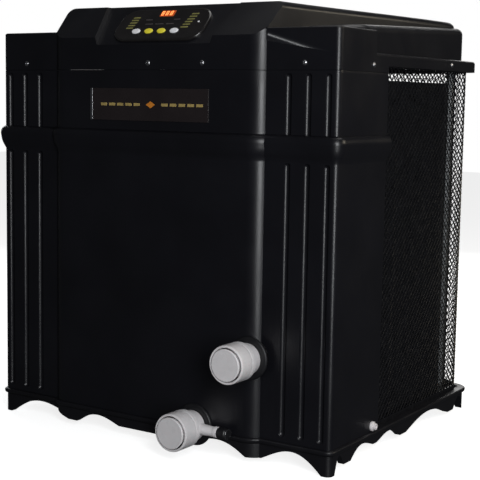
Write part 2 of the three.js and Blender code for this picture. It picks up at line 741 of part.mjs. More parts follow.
function exchangerLine() {
  const line = pipe(6, [
    [DRIER.x1 + 14 + GAP, DRIER.y, DRIER.z],
    [CANISTER.x, DRIER.y, DRIER.z],
    [CANISTER.x, CANISTER.y, DRIER.z],
  ], 26, 6);
  return cut(line, barZ(CANISTER.r + GAP, CANISTER.x, CANISTER.y, 0, 700, 20));
}

// ---------------------------------------------------------------- electrical box
const BOX = { x0: -300, x1: -20, y0: 30, y1: 150, z0: 590, z1: 870, wall: 3 };

function electricalBox() {
  const { x0, x1, y0, y1, z0, z1, wall } = BOX;
  const inside = block(x0 + wall, x1 - wall, y0 - 5, y1 - wall, z0 + wall, z1 - wall);
  return cut(block(x0, x1, y0, y1, z0, z1), inside);
}

function controlBoard() {
  const y = BOX.y1 - BOX.wall - 20;
  const board = block(-285, -130, y, y + 2.5, 660, 860);
  const chips = block(-270, -200, y - 14, y + 1, 790, 830);
  const relays = block(-260, -150, y - 22, y + 1, 690, 730);
  return join(board, chips, relays);
}

// ---------------------------------------------------------------- front details
const BADGE_PLATE = { x0: -197, x1: 178, z0: 836, z1: 918, thickness: 3 };

function badgePlate() {
  const { x0, x1, z0, z1, thickness } = BADGE_PLATE;
  return block(x0, x1, outward(thickness + GAP), outward(GAP), z0, z1);
}

function drainFitting() {
  return join(
    barX(12.5, 214, 80, HALF + GAP, HALF + 7, 20),
    barX(8.5, 214, 80, HALF + 6, HALF + 14, 16),
  );
}

function drainCap() {
  const x = DRAIN.x1 + GAP;
  return join(
    barX(DRAIN.capR, DRAIN.y, DRAIN.z, x, x + DRAIN.capLength - 6, 20),
    barX(DRAIN.capR - 3, DRAIN.y, DRAIN.z, x + DRAIN.capLength - 7, x + DRAIN.capLength, 20),
  );
}

const SCREW_Z = 982;
const SKIRT_SCREW_Z = 996;
const SCREW_R = 7;
const SCREW_HEAD = 4;
const FRONT_SCREWS = [[-442, 0], [-11, PROUD], [156, PROUD], [436, 0]];
const SIDE_SCREWS = [[170, SCREW_Z], [637, SKIRT_SCREW_Z]];

function frontScrew(x, proud) {
  return barY(SCREW_R - 1.5, x, SCREW_Z, -proud - GAP - SCREW_HEAD, -proud - GAP, 14, SCREW_R);
}

function sideScrew(side, y, z) {
  const from = HALF + GAP;
  return side > 0
    ? barX(SCREW_R, y, z, from, from + SCREW_HEAD, 14)
    : barX(SCREW_R, y, z, -from - SCREW_HEAD, -from, 14);
}

// ---------------------------------------------------------------- control console
// Drawn flat and then leaned back: X across, Y up the slope, Z out of the floor.
const BEZEL = { half: 141, y0: 6, y1: 121, r: 44, base: GAP, top: 7 };
const BUTTON = { rx: 13, ry: 8.5, x: -8, y: 38, pitch: 40, clearance: 0.5, base: 2.6, top: 9.5 };
const DISPLAY = { half: 22, y0: 92, y1: 113, top: 8.2 };

function oval(rx, ry, x, y, z0, z1) {
  const g = new THREE.CylinderGeometry(1, 1, z1 - z0, 24);
  g.rotateX(QUARTER);
  g.scale(rx, ry, 1);
  return placed(g, x, y, (z0 + z1) / 2);
}

const buttonX = (i) => BUTTON.x + (i - 1.5) * BUTTON.pitch;

function controlBezel() {
  const outline = (inset) => {
    const corner = (cx, cy, from) => arc(cx, cy, BEZEL.r - inset, from, from + QUARTER, 6);
    const x = BEZEL.half - BEZEL.r;
    return [
      ...corner(x, BEZEL.y0 + BEZEL.r, -QUARTER),
      ...corner(x, BEZEL.y1 - BEZEL.r, 0),
      ...corner(-x, BEZEL.y1 - BEZEL.r, QUARTER),
      ...corner(-x, BEZEL.y0 + BEZEL.r, 2 * QUARTER),
    ];
  };
  const body = loft([at(outline(0), BEZEL.base), at(outline(0), BEZEL.top - 3), at(outline(3), BEZEL.top)]);
  const holes = [0, 1, 2, 3].map((i) => oval(
    BUTTON.rx + BUTTON.clearance, BUTTON.ry + BUTTON.clearance, buttonX(i), BUTTON.y, -5, 20,
  ));
  const well = block(-DISPLAY.half - GAP, DISPLAY.half + GAP, DISPLAY.y0 - GAP, DISPLAY.y1 + GAP, 3, 20);
  return cut(body, ...holes, well);
}

function button(i) {
  const { rx, ry, y, base, top } = BUTTON;
  return join(
    oval(rx, ry, buttonX(i), y, base, top - 1.5),
    oval(rx - 1.5, ry - 1.5, buttonX(i), y, top - 2, top),
  );
}

function displayWindow() {
  return block(-DISPLAY.half, DISPLAY.half, DISPLAY.y0, DISPLAY.y1, 3 + GAP, DISPLAY.top);
}

// ---------------------------------------------------------------- assembly
const heater = new THREE.Group();
heater.position.set(0, Y_SHIFT, 0);

const keyPanel = new THREE.Group();
keyPanel.position.set(0, CONSOLE_FOOT.y, CONSOLE_FOOT.z);
keyPanel.rotation.x = CONSOLE_TILT;
heater.add(keyPanel);

function add(parent, name, solid, material) {
  const mesh = new THREE.Mesh(toGeometry(solid), material);
  mesh.name = name;
  parent.add(mesh);
}

add(heater, 'base_pan', basePan(), BLACK);
add(heater, 'lower_front_panel', lowerFrontPanel(), BLACK);
add(heater, 'upper_front_panel', upperFrontPanel(), BLACK);
add(heater, 'top_cover', topCover(), BLACK);
add(heater, 'rear_guard', rearGuard(), MESH);
for (const [name, side] of [['left', -1], ['right', 1]]) {
  add(heater, `${name}_guard`, sideGuard(side), MESH);
  add(heater, `${name}_front_post`, frontPost(side), GALVANISED);
  add(heater, `${name}_rear_post`, rearPost(side), GALVANISED);
}

add(heater, 'evaporator_coil', evaporatorCoil(), FIN);
add(heater, 'fan_guard', fanGuard(), DARK);
add(heater, 'motor_bracket', motorBracket(), GALVANISED);
add(heater, 'fan_motor', fanMotor(), DARK);
add(heater, 'fan_shaft', fanShaft(), STEEL);
add(heater, 'fan_blades', fanBlades(), DARK);

add(heater, 'heat_exchanger', heatExchanger(), TITANIUM_SHELL);
const branch = barX(DRAIN.r, DRAIN.y, DRAIN.z, DRAIN.x0, DRAIN.x1, 20);
for (const [name, port, arm] of [['outlet', OUTLET, null], ['inlet', INLET, branch]]) {
  add(heater, `${name}_pipe`, waterPipe(port), WHITE);
  add(heater, `${name}_escutcheon`, escutcheon(port), DARK);
  add(heater, `${name}_union_body`, unionBody(port, arm), WHITE);
  add(heater, `${name}_union_nut`, unionNut(port), WHITE);
  add(heater, `${name}_tailpiece`, tailpiece(port), WHITE);
  add(heater, `${name}_dust_plug`, dustPlug(port), WHITE);
  add(heater, `${name}_plug_bung`, plugBung(port), WHITE);
}
add(heater, 'drain_cap', drainCap(), DARK);
add(heater, 'drain_fitting', drainFitting(), WHITE);

add(heater, 'compressor', compressor(), DARK);
add(heater, 'accumulator', accumulator(), DARK);
add(heater, 'reversing_valve', reversingValve(), COPPER);
add(heater, 'discharge_line', dischargeLine(), COPPER);
add(heater, 'suction_line', suctionLine(), COPPER);
add(heater, 'filter_drier', filterDrier(), COPPER);
add(heater, 'expansion_valve', expansionValve(), COPPER);
add(heater, 'liquid_line', liquidLine(), COPPER);
add(heater, 'exchanger_line', exchangerLine(), COPPER);

add(heater, 'electrical_box', electricalBox(), GALVANISED);
add(heater, 'control_board', controlBoard(), BOARD);

add(heater, 'badge_plate', badgePlate(), BADGE);
FRONT_SCREWS.forEach(([x, proud], i) => {
  add(heater, `cover_screw_front_${i + 1}`, frontScrew(x, proud), STEEL);
});
for (const [name, side] of [['left', -1], ['right', 1]]) {
  SIDE_SCREWS.forEach(([y, z], i) => {
    add(heater, `cover_screw_${name}_${i + 1}`, sideScrew(side, y, z), STEEL);
  });
}

add(keyPanel, 'control_bezel', controlBezel(), DARK);
add(keyPanel, 'display_window', displayWindow(), LAMP);
const BUTTON_NAMES = ['mode_button', 'down_button', 'up_button', 'power_button'];
const BUTTON_COLOURS = [WHITE, AMBER, AMBER, WHITE];
BUTTON_NAMES.forEach((name, i) => add(keyPanel, name, button(i), BUTTON_COLOURS[i]));

export default heater;
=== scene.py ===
"""The looks of an electric heat-pump pool heater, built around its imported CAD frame.

Metres throughout. The front faces -Y, +Z is up and the feet stand on z = 0.
Outlines are drawn with y = 0 at the face of the front corner columns; PLANE_Y puts them
in the frame.
"""
import json
import math

import bpy
from mathutils import Matrix, Vector

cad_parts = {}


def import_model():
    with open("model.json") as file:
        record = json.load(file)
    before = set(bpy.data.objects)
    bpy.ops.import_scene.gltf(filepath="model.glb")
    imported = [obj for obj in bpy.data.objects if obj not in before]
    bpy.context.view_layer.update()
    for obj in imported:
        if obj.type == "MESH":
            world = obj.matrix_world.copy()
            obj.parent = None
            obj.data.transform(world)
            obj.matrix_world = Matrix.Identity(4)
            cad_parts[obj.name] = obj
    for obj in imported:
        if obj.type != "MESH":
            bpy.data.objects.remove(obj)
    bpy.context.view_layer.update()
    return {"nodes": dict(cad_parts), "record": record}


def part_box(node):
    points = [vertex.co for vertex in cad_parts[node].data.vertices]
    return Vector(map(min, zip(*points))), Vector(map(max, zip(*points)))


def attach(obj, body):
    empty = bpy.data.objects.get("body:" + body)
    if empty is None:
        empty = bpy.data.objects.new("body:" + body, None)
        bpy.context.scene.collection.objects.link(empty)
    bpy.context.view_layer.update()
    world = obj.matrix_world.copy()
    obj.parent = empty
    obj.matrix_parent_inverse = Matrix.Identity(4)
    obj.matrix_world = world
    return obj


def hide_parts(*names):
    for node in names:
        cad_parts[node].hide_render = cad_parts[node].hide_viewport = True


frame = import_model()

# ---- sizes
MM = 0.001
GAP = 0.3 * MM                  # clearance the CAD keeps between touching pieces
PROUD = 18 * MM                 # how far the middle of the front stands forward
EDGE_R = 50 * MM                # rounding of the raised middle's long edges
RAISED_FLAT = 292 * MM          # half width of the raised middle's flat
CORNER_R = 14 * MM
REAR_R = 42 * MM
RETURN = 250 * MM               # how far the front panels wrap along the sides
WALL = 12 * MM
BELT_PROUD = 15 * MM
RIM_PROUD = 8 * MM
COVER_WALL = 6 * MM
PAN_WALL = 16 * MM

cover_low, cover_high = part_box("top_cover")
HALF = cover_high[0]
PLANE_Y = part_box("upper_front_panel")[0][1] + PROUD
BACK = cover_high[1] - PLANE_Y
SEAM_Z = cover_low[2]
LIP_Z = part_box("base_pan")[1][2]
BELT_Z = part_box("lower_front_panel")[1][2]

SKIRT_Z = SEAM_Z + 47 * MM      # side ledge of the cover
SKIRT_FOOT_Z = SEAM_Z + 16 * MM
LEDGE_Z = SEAM_Z + 100 * MM     # corner ledges of the cover
DOME_Z = SEAM_Z + 107 * MM      # shoulder, carried forward to the front plane
DOME_REAR_Z = SEAM_Z + 141 * MM
HUMP_Z = SEAM_Z + 168 * MM
HUMP_REAR_Z = SEAM_Z + 153 * MM
HUMP_HALF = 332 * MM
HUMP_FLARE = 156 * MM
HUMP_BACK = 798 * MM
DOME_HALF = 505 * MM
DOME_FRONT = 140 * MM
DOME_BACK = 810 * MM
DOME_R = 60 * MM
CORNER_BACK = 184 * MM
PORT_R = 44 * MM                # clearance hole behind each escutcheon

FLUTE_INSETS = (28.7 * MM, 82.5 * MM, 136.3 * MM)
FLUTE_R = 9 * MM
FLUTE_DEPTH = 7 * MM

FAN_Y = 445 * MM
FAN_OPENING_R = 262 * MM
FAN_SEAT_R = 292 * MM
FAN_SEAT_Z = SEAM_Z + 113 * MM
THROAT_Z = SEAM_Z + 20 * MM

SLOPE_FOOT = (-PROUD, SEAM_Z + 83 * MM)
SLOPE_TILT = math.radians(45)
KEYPAD_FOOT = (-16 * MM, SEAM_Z + 66 * MM)
KEYPAD_TILT = math.radians(46)
KEYPAD_REACH = 142 * MM

QUARTER = math.pi / 2


# ---- camera
CAMERA_AT = (1.8379, -2.7666, 0.8914)
CAMERA_YAW = 0.5789
CAMERA_PITCH = 0.1175
CAMERA_ROLL = 0.0165
CAMERA_LENS = 88.6
CAMERA_SENSOR = 36.0


def make_camera():
    camera = bpy.data.objects.new("camera", bpy.data.cameras.new("camera"))
    bpy.context.scene.collection.objects.link(camera)
    camera.data.lens = CAMERA_LENS
    camera.data.sensor_width = CAMERA_SENSOR
    turn = (
        Matrix.Rotation(CAMERA_YAW, 4, "Z")
        @ Matrix.Rotation(QUARTER - CAMERA_PITCH, 4, "X")
        @ Matrix.Rotation(CAMERA_ROLL, 4, "Z")
    )
    camera.matrix_world = Matrix.Translation(CAMERA_AT) @ turn
    bpy.context.scene.camera = camera


# ---- materials
class Look:
    """A node-based material with mottled colour, uneven roughness and a fine relief.

    mottle and uneven are (scale, spread either side of the middle value), relief is
    (scale, height in mm, strength), and grain stretches the unevenness along an axis.
    """

    def __init__(self, name, color, rough, mottle, uneven, relief, sockets=None, grain=None):
        self.material = bpy.data.materials.new(name)
        self.material.use_nodes = True
        self.nodes = self.material.node_tree.nodes
        self.links = self.material.node_tree.links
        self.shader = self.nodes["Principled BSDF"]
        self.place = self.nodes.new("ShaderNodeTexCoord").outputs["Object"]
        self.mottle(color, *mottle)
        self.uneven(rough, *uneven, grain)
        self.relief(*relief)
        for socket, value in (sockets or {}).items():
            self.shader.inputs[socket].default_value = value

    def noise(self, scale, detail, stretch=None):
        node = self.nodes.new("ShaderNodeTexNoise")
        node.inputs["Scale"].default_value = scale
        node.inputs["Detail"].default_value = detail
        source = self.place
        if stretch:
            mapping = self.nodes.new("ShaderNodeMapping")
            mapping.inputs["Scale"].default_value = stretch
            self.links.new(source, mapping.inputs["Vector"])
            source = mapping.outputs["Vector"]
        self.links.new(source, node.inputs["Vector"])
        return node.outputs["Fac"]

    def mottle(self, color, scale, spread):
        ramp = self.nodes.new("ShaderNodeValToRGB")
        low, high = ramp.color_ramp.elements
        low.position, high.position = NOISE_RANGE
        low.color = (*(c * (1 - spread) for c in color), 1)
        high.color = (*(min(1.0, c * (1 + spread)) for c in color), 1)
        self.links.new(self.noise(scale, 3.0), ramp.inputs["Fac"])
        self.links.new(ramp.outputs["Color"], self.shader.inputs["Base Color"])

    def uneven(self, rough, scale, spread, grain):
        reach = self.nodes.new("ShaderNodeMapRange")
        ends = (*NOISE_RANGE, max(0.03, rough - spread), min(1.0, rough + spread))
        for socket, value in zip(("From Min", "From Max", "To Min", "To Max"), ends):
            reach.inputs[socket].default_value = value
        self.links.new(self.noise(scale, 3.0, grain), reach.inputs["Value"])
        self.links.new(reach.outputs["Result"], self.shader.inputs["Roughness"])

    def relief(self, scale, height, strength):
        bump = self.nodes.new("ShaderNodeBump")
        bump.inputs["Strength"].default_value = strength
        bump.inputs["Distance"].default_value = height * MM
        self.links.new(self.noise(scale, 1.5), bump.inputs["Height"])
        self.links.new(bump.outputs["Normal"], self.shader.inputs["Normal"])


def glow(color, strength):
    return {"Emission Color": (*color, 1), "Emission Strength": strength}


# Key caps: the faint emission in the key's own colour is a painted glow, as the keys are no lamps;
# the ready lamp that shares the white look is a lamp.
def key_rubber_painted_glow(name, color):
    return (name, color, 0.4, (90, 0.05), (120, 0.08), (900, 0.04, 0.25), glow(color, 0.12))


NOISE_RANGE = (0.3, 0.7)         # the part of a noise's values that carries most of it
METAL = {"Metallic": 1.0}
HALF_METAL = {"Metallic": 0.35}
PLASTIC = {"Specular IOR Level": 0.5}
CLEAR_COAT = {"Coat Weight": 0.4, "Coat Roughness": 0.1}
TRANSLUCENT = {"Subsurface Weight": 0.06, "Subsurface Radius": (0.004, 0.003, 0.003)}
GROUND_STEEL = (
    "ground_steel", (0.5, 0.5, 0.52), 0.3, (40, 0.08), (160, 0.08), (600, 0.05, 0.3),
    METAL, (1, 1, 12),
)

# slot: name, colour, roughness, mottle, uneven, relief, sockets, grain
LOOKS = {
    "cabinet_black": (
        "cabinet_plastic", (0.0062, 0.0062, 0.0085), 0.34,
        (6, 0.18), (9, 0.05), (420, 0.35, 0.55), PLASTIC,
    ),
    "pan_black": (
        "pan_plastic", (0.0068, 0.0066, 0.0085), 0.4, (9, 0.2), (14, 0.07), (380, 0.4, 0.6),
    ),
    "guard_black": (
        "guard_vinyl", (0.0075, 0.0075, 0.009), 0.24, (40, 0.2), (60, 0.08), (700, 0.15, 0.5),
    ),
    "grille_black": (
        "grille_coating", (0.008, 0.008, 0.009), 0.32, (30, 0.2), (50, 0.08), (900, 0.1, 0.4),
    ),
    "galvanised_steel": (
        "zinc_sheet", (0.45, 0.47, 0.48), 0.42, (60, 0.14), (45, 0.1), (120, 0.1, 0.3), METAL,
    ),
    # the fins are coloured near-black
    "fin_aluminium": (
        "coated_fins", (0.012, 0.012, 0.014), 0.5, (25, 0.3), (40, 0.1), (500, 0.1, 0.4),
    ),
    "motor_paint": (
        "machine_enamel", (0.014, 0.014, 0.016), 0.38, (12, 0.25), (20, 0.1), (260, 0.2, 0.4),
    ),
    "bright_steel": GROUND_STEEL,
    "fan_plastic": (
        "filled_nylon", (0.018, 0.018, 0.02), 0.5, (30, 0.25), (40, 0.08), (500, 0.15, 0.4),
    ),
    "exchanger_shell": (
        "shell_plastic", (0.05, 0.052, 0.058), 0.45, (10, 0.15), (20, 0.08), (300, 0.2, 0.4),
    ),
    "white_pvc": (
        "white_pvc", (0.84, 0.81, 0.815), 0.3,
        (24, 0.03), (40, 0.07), (180, 0.12, 0.25), TRANSLUCENT,
    ),
    "fitting_black": (
        "moulded_black", (0.01, 0.01, 0.0115), 0.4, (30, 0.2), (40, 0.08), (500, 0.15, 0.4),
    ),
    "copper": (
        "drawn_copper", (0.55, 0.25, 0.14), 0.3, (35, 0.16), (50, 0.12), (200, 0.08, 0.25), METAL,
    ),
    "circuit_board": (
        "solder_resist", (0.02, 0.12, 0.05), 0.4, (90, 0.3), (60, 0.1), (900, 0.1, 0.4),
    ),
    "badge_brown": (
        "badge_enamel", (0.02, 0.0155, 0.016), 0.28, (14, 0.12), (30, 0.06), (900, 0.03, 0.2),
    ),
    "gold_print": (
        "gold_print", (0.62, 0.46, 0.16), 0.35,
        (120, 0.12), (80, 0.08), (900, 0.03, 0.2), HALF_METAL,
    ),
    "amber_print": (
        "amber_print", (0.72, 0.25, 0.03), 0.35, (90, 0.15), (80, 0.08), (900, 0.03, 0.2),
    ),
    # a bright metal that paints highlights: the strip down the badge's left edge and the ring near
    # the drain cap's end
    "bright_trim": (
        "bright_trim", (0.62, 0.62, 0.64), 0.22,
        (40, 0.08), (200, 0.08), (500, 0.03, 0.2), METAL, (12, 12, 1),
    ),
    "screw_steel": GROUND_STEEL,
    "console_face": (
        "keypad_face", (0.014, 0.0125, 0.0125), 0.22,
        (18, 0.2), (30, 0.06), (650, 0.06, 0.25), CLEAR_COAT,
    ),
    "display_red": (
        "lens_red", (0.12, 0.018, 0.008), 0.12,
        (60, 0.2), (60, 0.04), (500, 0.02, 0.15), glow((0.9, 0.16, 0.03), 0.35),
    ),
    "segment_red": (
        "segment_red", (0.9, 0.25, 0.06), 0.3,
        (80, 0.1), (80, 0.05), (500, 0.02, 0.1), glow((1.0, 0.34, 0.1), 1.6),
    ),
    "lamp_olive": (
        "lamp_olive", (0.16, 0.15, 0.045), 0.35,
        (150, 0.25), (80, 0.08), (800, 0.03, 0.2), glow((0.5, 0.48, 0.16), 0.07),
    ),
    "label_grey": (
        "label_grey", (0.07, 0.062, 0.062), 0.4, (150, 0.25), (80, 0.08), (800, 0.03, 0.2),
    ),
    # key caps, with a faint painted glow
    "button_white": key_rubber_painted_glow("key_white", (0.82, 0.82, 0.84)),
    "button_amber": key_rubber_painted_glow("key_amber", (0.8, 0.7, 0.05)),
    "floor": (
        "pale_floor", (0.86, 0.86, 0.86), 0.8,
        (1.5, 0.01), (3, 0.05), (60, 0.1, 0.1), glow((1, 1, 1), 0.82),
    ),
}
made = {}


def look(name):
    if name not in made:
        made[name] = Look(*LOOKS[name]).material
    return made[name]


# ---- mesh making
def build(name, points, faces, look_name, sharp=32):
    """A mesh object at the origin, shaded smooth except across edges sharper than sharp degrees."""
    mesh = bpy.data.meshes.new(name)
    mesh.from_pydata([tuple(p) for p in points], [], faces)
    mesh.validate()
    mesh.update()
    piece = bpy.data.objects.new(name, mesh)
    bpy.context.scene.collection.objects.link(piece)
    mesh.materials.append(look(look_name))
    soften(piece, sharp)
    return piece


def soften(piece, sharp=32):
    piece.data.polygons.foreach_set("use_smooth", [True] * len(piece.data.polygons))
    piece.data.set_sharp_from_angle(angle=math.radians(sharp))


def settle(piece):
    """Applies every modifier."""
    bpy.context.view_layer.update()
    graph = bpy.context.evaluated_depsgraph_get()
    mesh = bpy.data.meshes.new_from_object(piece.evaluated_get(graph))
    piece.modifiers.clear()
    piece.data = mesh
    return piece


def carve(piece, tools, operation="DIFFERENCE"):
    """Cuts the tools from a piece, or joins them to it, and removes them."""
    for tool in tools:
        step = piece.modifiers.new("step", "BOOLEAN")
        step.operation = operation
        step.solver = "EXACT"
        step.object = tool
        settle(piece)
        bpy.data.objects.remove(tool)
    return piece


def round_edges(piece, width, angle=32, segments=3):
    bevel = piece.modifiers.new("round", "BEVEL")
    bevel.width = width
    bevel.segments = segments
    bevel.limit_method = "ANGLE"
    bevel.angle_limit = math.radians(angle)
    bevel.use_clamp_overlap = True
    bevel.miter_outer = "MITER_ARC"
    settle(piece)
    soften(piece, 40)
    even = piece.modifiers.new("normals", "WEIGHTED_NORMAL")
    even.keep_sharp = True
    return settle(piece)


def finish_piece(piece, slot, *stands_for, body="cabinet"):
    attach(piece, body)
    if stands_for:
        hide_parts(*stands_for)
    return piece


def arc(cx, cy, r, start, end, steps):
    angles = (start + (end - start) * i / steps for i in range(steps + 1))
    return [(cx + r * math.cos(a), cy + r * math.sin(a)) for a in angles]


def mirrored(points):
    return [(-x, y) for x, y in reversed(points)]


def at(points, z):
    return [(x, y + PLANE_Y, z) for x, y in points]


def add_body(points, faces, rings):
    """Adds a closed body through rings of equal length, bottom to top."""
    base = len(points)
    n = len(rings[0])
    for r, ring in enumerate(rings):
        points.extend(ring)
        low = base + (r - 1) * n
        for i in range(n if r else 0):
            j = (i + 1) % n
            faces.append((low + i, low + j, low + n + j, low + n + i))
    faces.append(tuple(base + i for i in reversed(range(n))))
    faces.append(tuple(len(points) - n + i for i in range(n)))


def loft(name, rings, look_name, sharp=32):
    points = []
    faces = []
    add_body(points, faces, rings)
    return build(name, points, faces, look_name, sharp)


def fillet(points, radius, steps=5):
    """An open outline with each inner corner rounded."""
    out = [points[0]]
    for before, corner, after in zip(points, points[1:], points[2:]):
        c = Vector(corner)
        arm_in = Vector(before) - c
        arm_out = Vector(after) - c
        reach = min(radius, arm_in.length * 0.45, arm_out.length * 0.45)
        a = c + arm_in.normalized() * reach
        b = c + arm_out.normalized() * reach
        for i in range(steps + 1):
            t = i / steps
            p = a * (1 - t) ** 2 + c * 2 * t * (1 - t) + b * t * t
            out.append((p.x, p.y))
    out.append(points[-1])
    return out


def axis_frame(origin, direction):
    """Turns local +Z to direction and moves it to origin."""
    turn = Vector((0, 0, 1)).rotation_difference(Vector(direction)).to_matrix().to_4x4()
    return Matrix.Translation(origin) @ turn


def lathe(name, profile, place, look_name, sides=72, closed=False, sharp=32):
    """A profile of (radius, height) turned about local Z. A closed one is a ring."""
    points = []
    faces = []
    rows = len(profile)
    for i in range(sides):
        a = 2 * math.pi * i / sides
        points += [place @ Vector((r * math.cos(a), r * math.sin(a), h)) for r, h in profile]
    spans = rows if closed else rows - 1
    for i in range(sides):
        j = (i + 1) % sides
        for k in range(spans):
            m = (k + 1) % rows
            faces.append((i * rows + k, j * rows + k, j * rows + m, i * rows + m))
    if not closed:
        faces.append(tuple(i * rows for i in reversed(range(sides))))
        faces.append(tuple(i * rows + rows - 1 for i in range(sides)))
    return build(name, points, faces, look_name, sharp)


def block(name, low, high, look_name):
    ring = [(low[0], low[1]), (high[0], low[1]), (high[0], high[1]), (low[0], high[1])]
    return loft(name, [at(ring, low[2]), at(ring, high[2])], look_name)


def joined(name, pieces):
    """Several pieces as one object."""
    with bpy.context.temp_override(active_object=pieces[0], selected_editable_objects=pieces):
        bpy.ops.object.join()
    pieces[0].name = name
    return pieces[0]


# ---- cabinet outline
def column_stations():
    """Where the corner column's flat is sampled, finely across each flute."""
    edge = math.sqrt(FLUTE_R ** 2 - (FLUTE_R - FLUTE_DEPTH) ** 2)
    stations = []
    for inset in sorted(FLUTE_INSETS, reverse=True):
        middle = HALF - inset
        stations.append(middle - edge * 1.12)
        stations += [middle + edge * math.sin(QUARTER * t / 6) for t in range(-6, 7)]
        stations.append(middle + edge * 1.12)
    return stations


def front_half(grow, fine=True):
    rise = EDGE_R - PROUD
    r = EDGE_R + grow
    sweep = math.acos((rise + grow) / r)
    edge = arc(RAISED_FLAT, rise, r, -QUARTER, -QUARTER + sweep, 18)
    flat = [(x, -grow) for x in column_stations()] if fine else []
    corner_r = max(CORNER_R + grow, 1.5 * MM)
    corner = arc(HALF + grow - corner_r, corner_r - grow, corner_r, -QUARTER, 0, 12)
    return edge + flat + corner


def front_path(grow, back, fine=True):
    half = front_half(grow, fine)
    return [(-HALF - grow, back)] + mirrored(half) + half + [(HALF + grow, back)]


def footprint(grow):
    half = front_half(grow, False)
    rear = arc(HALF - REAR_R, BACK - REAR_R, REAR_R + grow, 0, QUARTER, 12)
    return mirrored(half) + half + rear + mirrored(rear)


def flute_depth(x, z, low, high):
    """How deep a flute runs at a point of the column's face."""
    for inset in FLUTE_INSETS:
        across = abs(abs(x) - (HALF - inset))
        past = max(low + FLUTE_R - z, z - (high - FLUTE_R), 0)
        reach = across * across + past * past
        if reach < FLUTE_R ** 2:
            return max(0.0, math.sqrt(FLUTE_R ** 2 - reach) - (FLUTE_R - FLUTE_DEPTH))
    return 0.0


def end_rows(level, direction, steps=9):
    """Heights packed round a flute's rounded end, going inwards from it."""
    turns = (QUARTER * i / steps for i in range(steps + 1))
    return [level + direction * FLUTE_R * (1 - math.cos(a)) for a in turns]


def wrapped_panel(name, rows, flute_low, flute_high):
    """A panel round the front with sunk flutes, from rows of (height, how far it stands proud)."""
    outer = []
    for z, grow in rows:
        for x, y in front_path(grow, RETURN):
            on_face = abs(y + grow) < 1e-6
            sink = flute_depth(x, z, flute_low, flute_high) if on_face else 0.0
            outer.append((x, y + sink + PLANE_Y, z))
    inner = front_path(-WALL, RETURN)
    n = len(inner)
    high = len(rows) - 1
    base = len(outer)
    points = outer + at(inner, rows[0][0]) + at(inner, rows[-1][0])
    faces = []
    for r in range(high):
        for i in range(n - 1):
            faces.append((r * n + i, r * n + i + 1, (r + 1) * n + i + 1, (r + 1) * n + i))
    for i in range(n - 1):
        faces.append((i, base + i, base + i + 1, i + 1))
        faces.append((high * n + i, high * n + i + 1, base + n + i + 1, base + n + i))
        faces.append((base + i, base + n + i, base + n + i + 1, base + i + 1))
    faces.append((*(r * n for r in range(high + 1)), base + n, base))
    faces.append((base + n - 1, base + 2 * n - 1, *(r * n + n - 1 for r in range(high, -1, -1))))
    return build(name, points, faces, "cabinet_black", 38)


def lower_front_panel():
    belt_foot = BELT_Z - 62 * MM
    low = LIP_Z + 13 * MM
    high = belt_foot - 4 * MM
    belt = fillet(
        [
            (belt_foot, 0),
            (BELT_Z - 42 * MM, BELT_PROUD - 4 * MM),
            (BELT_Z - 16 * MM, BELT_PROUD),
            (BELT_Z - 5 * MM, BELT_PROUD - 5 * MM),
            (BELT_Z, 1.5 * MM),
        ],
        12 * MM,
        6,
    )
    rows = [(LIP_Z + GAP, 0)]
    rows += [(z, 0) for z in end_rows(low, 1)]
    rows += [(low + (high - low) * t / 6, 0) for t in range(1, 6)]
    rows += [(z, 0) for z in reversed(end_rows(high, -1))]
    rows += belt
    panel = wrapped_panel("front_lower", rows, low, high)
    carve(panel, [port_hole("outlet"), port_hole("inlet")])
    soften(panel, 38)
    return finish_piece(panel, "cabinet_black", "lower_front_panel")


def upper_front_panel():
    bottom = BELT_Z + GAP
    top = SEAM_Z - GAP
    low = bottom - 12 * MM
    high = SEAM_Z - 8 * MM
    rows = [(bottom, 0), (bottom + 30 * MM, 0), (bottom + 80 * MM, 0)]
    rows += [(z, 0) for z in reversed(end_rows(high, -1))]
    rows += [(top - 2 * MM, 0), (top - 0.6 * MM, -0.5 * MM), (top, -1.6 * MM)]
    panel = wrapped_panel("front_upper", rows, low, high)
    return finish_piece(panel, "cabinet_black", "upper_front_panel")


# ---- top cover
def rounded_box(half, y0, y1, r, steps=14):
    front = arc(half - r, y0 + r, r, -QUARTER, 0, steps)
    rear = arc(half - r, y1 - r, r, 0, QUARTER, steps)
    return mirrored(front) + front + rear + mirrored(rear)


def rolled(top, inset, steps=6):
    """(inset, height) pairs of a quarter-round edge below a top level."""
    turns = (QUARTER * i / steps for i in range(steps + 1))
    return [(inset * (1 - math.cos(a)), top - inset * (1 - math.sin(a))) for a in turns]


def hump_ring(inset, level):
    steps = 24
    rear_r = 70 * MM - inset
    back = HUMP_BACK - inset
    front = LEDGE_Z - SLOPE_FOOT[1] - PROUD + inset   # the leaning face trims it from here up
    side = []
    for i in range(steps + 1):
        t = i / steps
        flare = HUMP_FLARE * (t * t * (3 - 2 * t) * 0.4 + t * 0.6)
        side.append((HUMP_HALF + flare - inset, front + (back - rear_r - front) * t))
    corner = arc(side[-1][0] - rear_r, back - rear_r, rear_r, 0, QUARTER, 12)[1:]
    right = side + corner
    ring = []
    for x, y in right + mirrored(right):
        t = max(0.0, y) / HUMP_BACK
        ring.append((x, y + PLANE_Y, level(HUMP_Z + (HUMP_REAR_Z - HUMP_Z) * t)))
    return ring


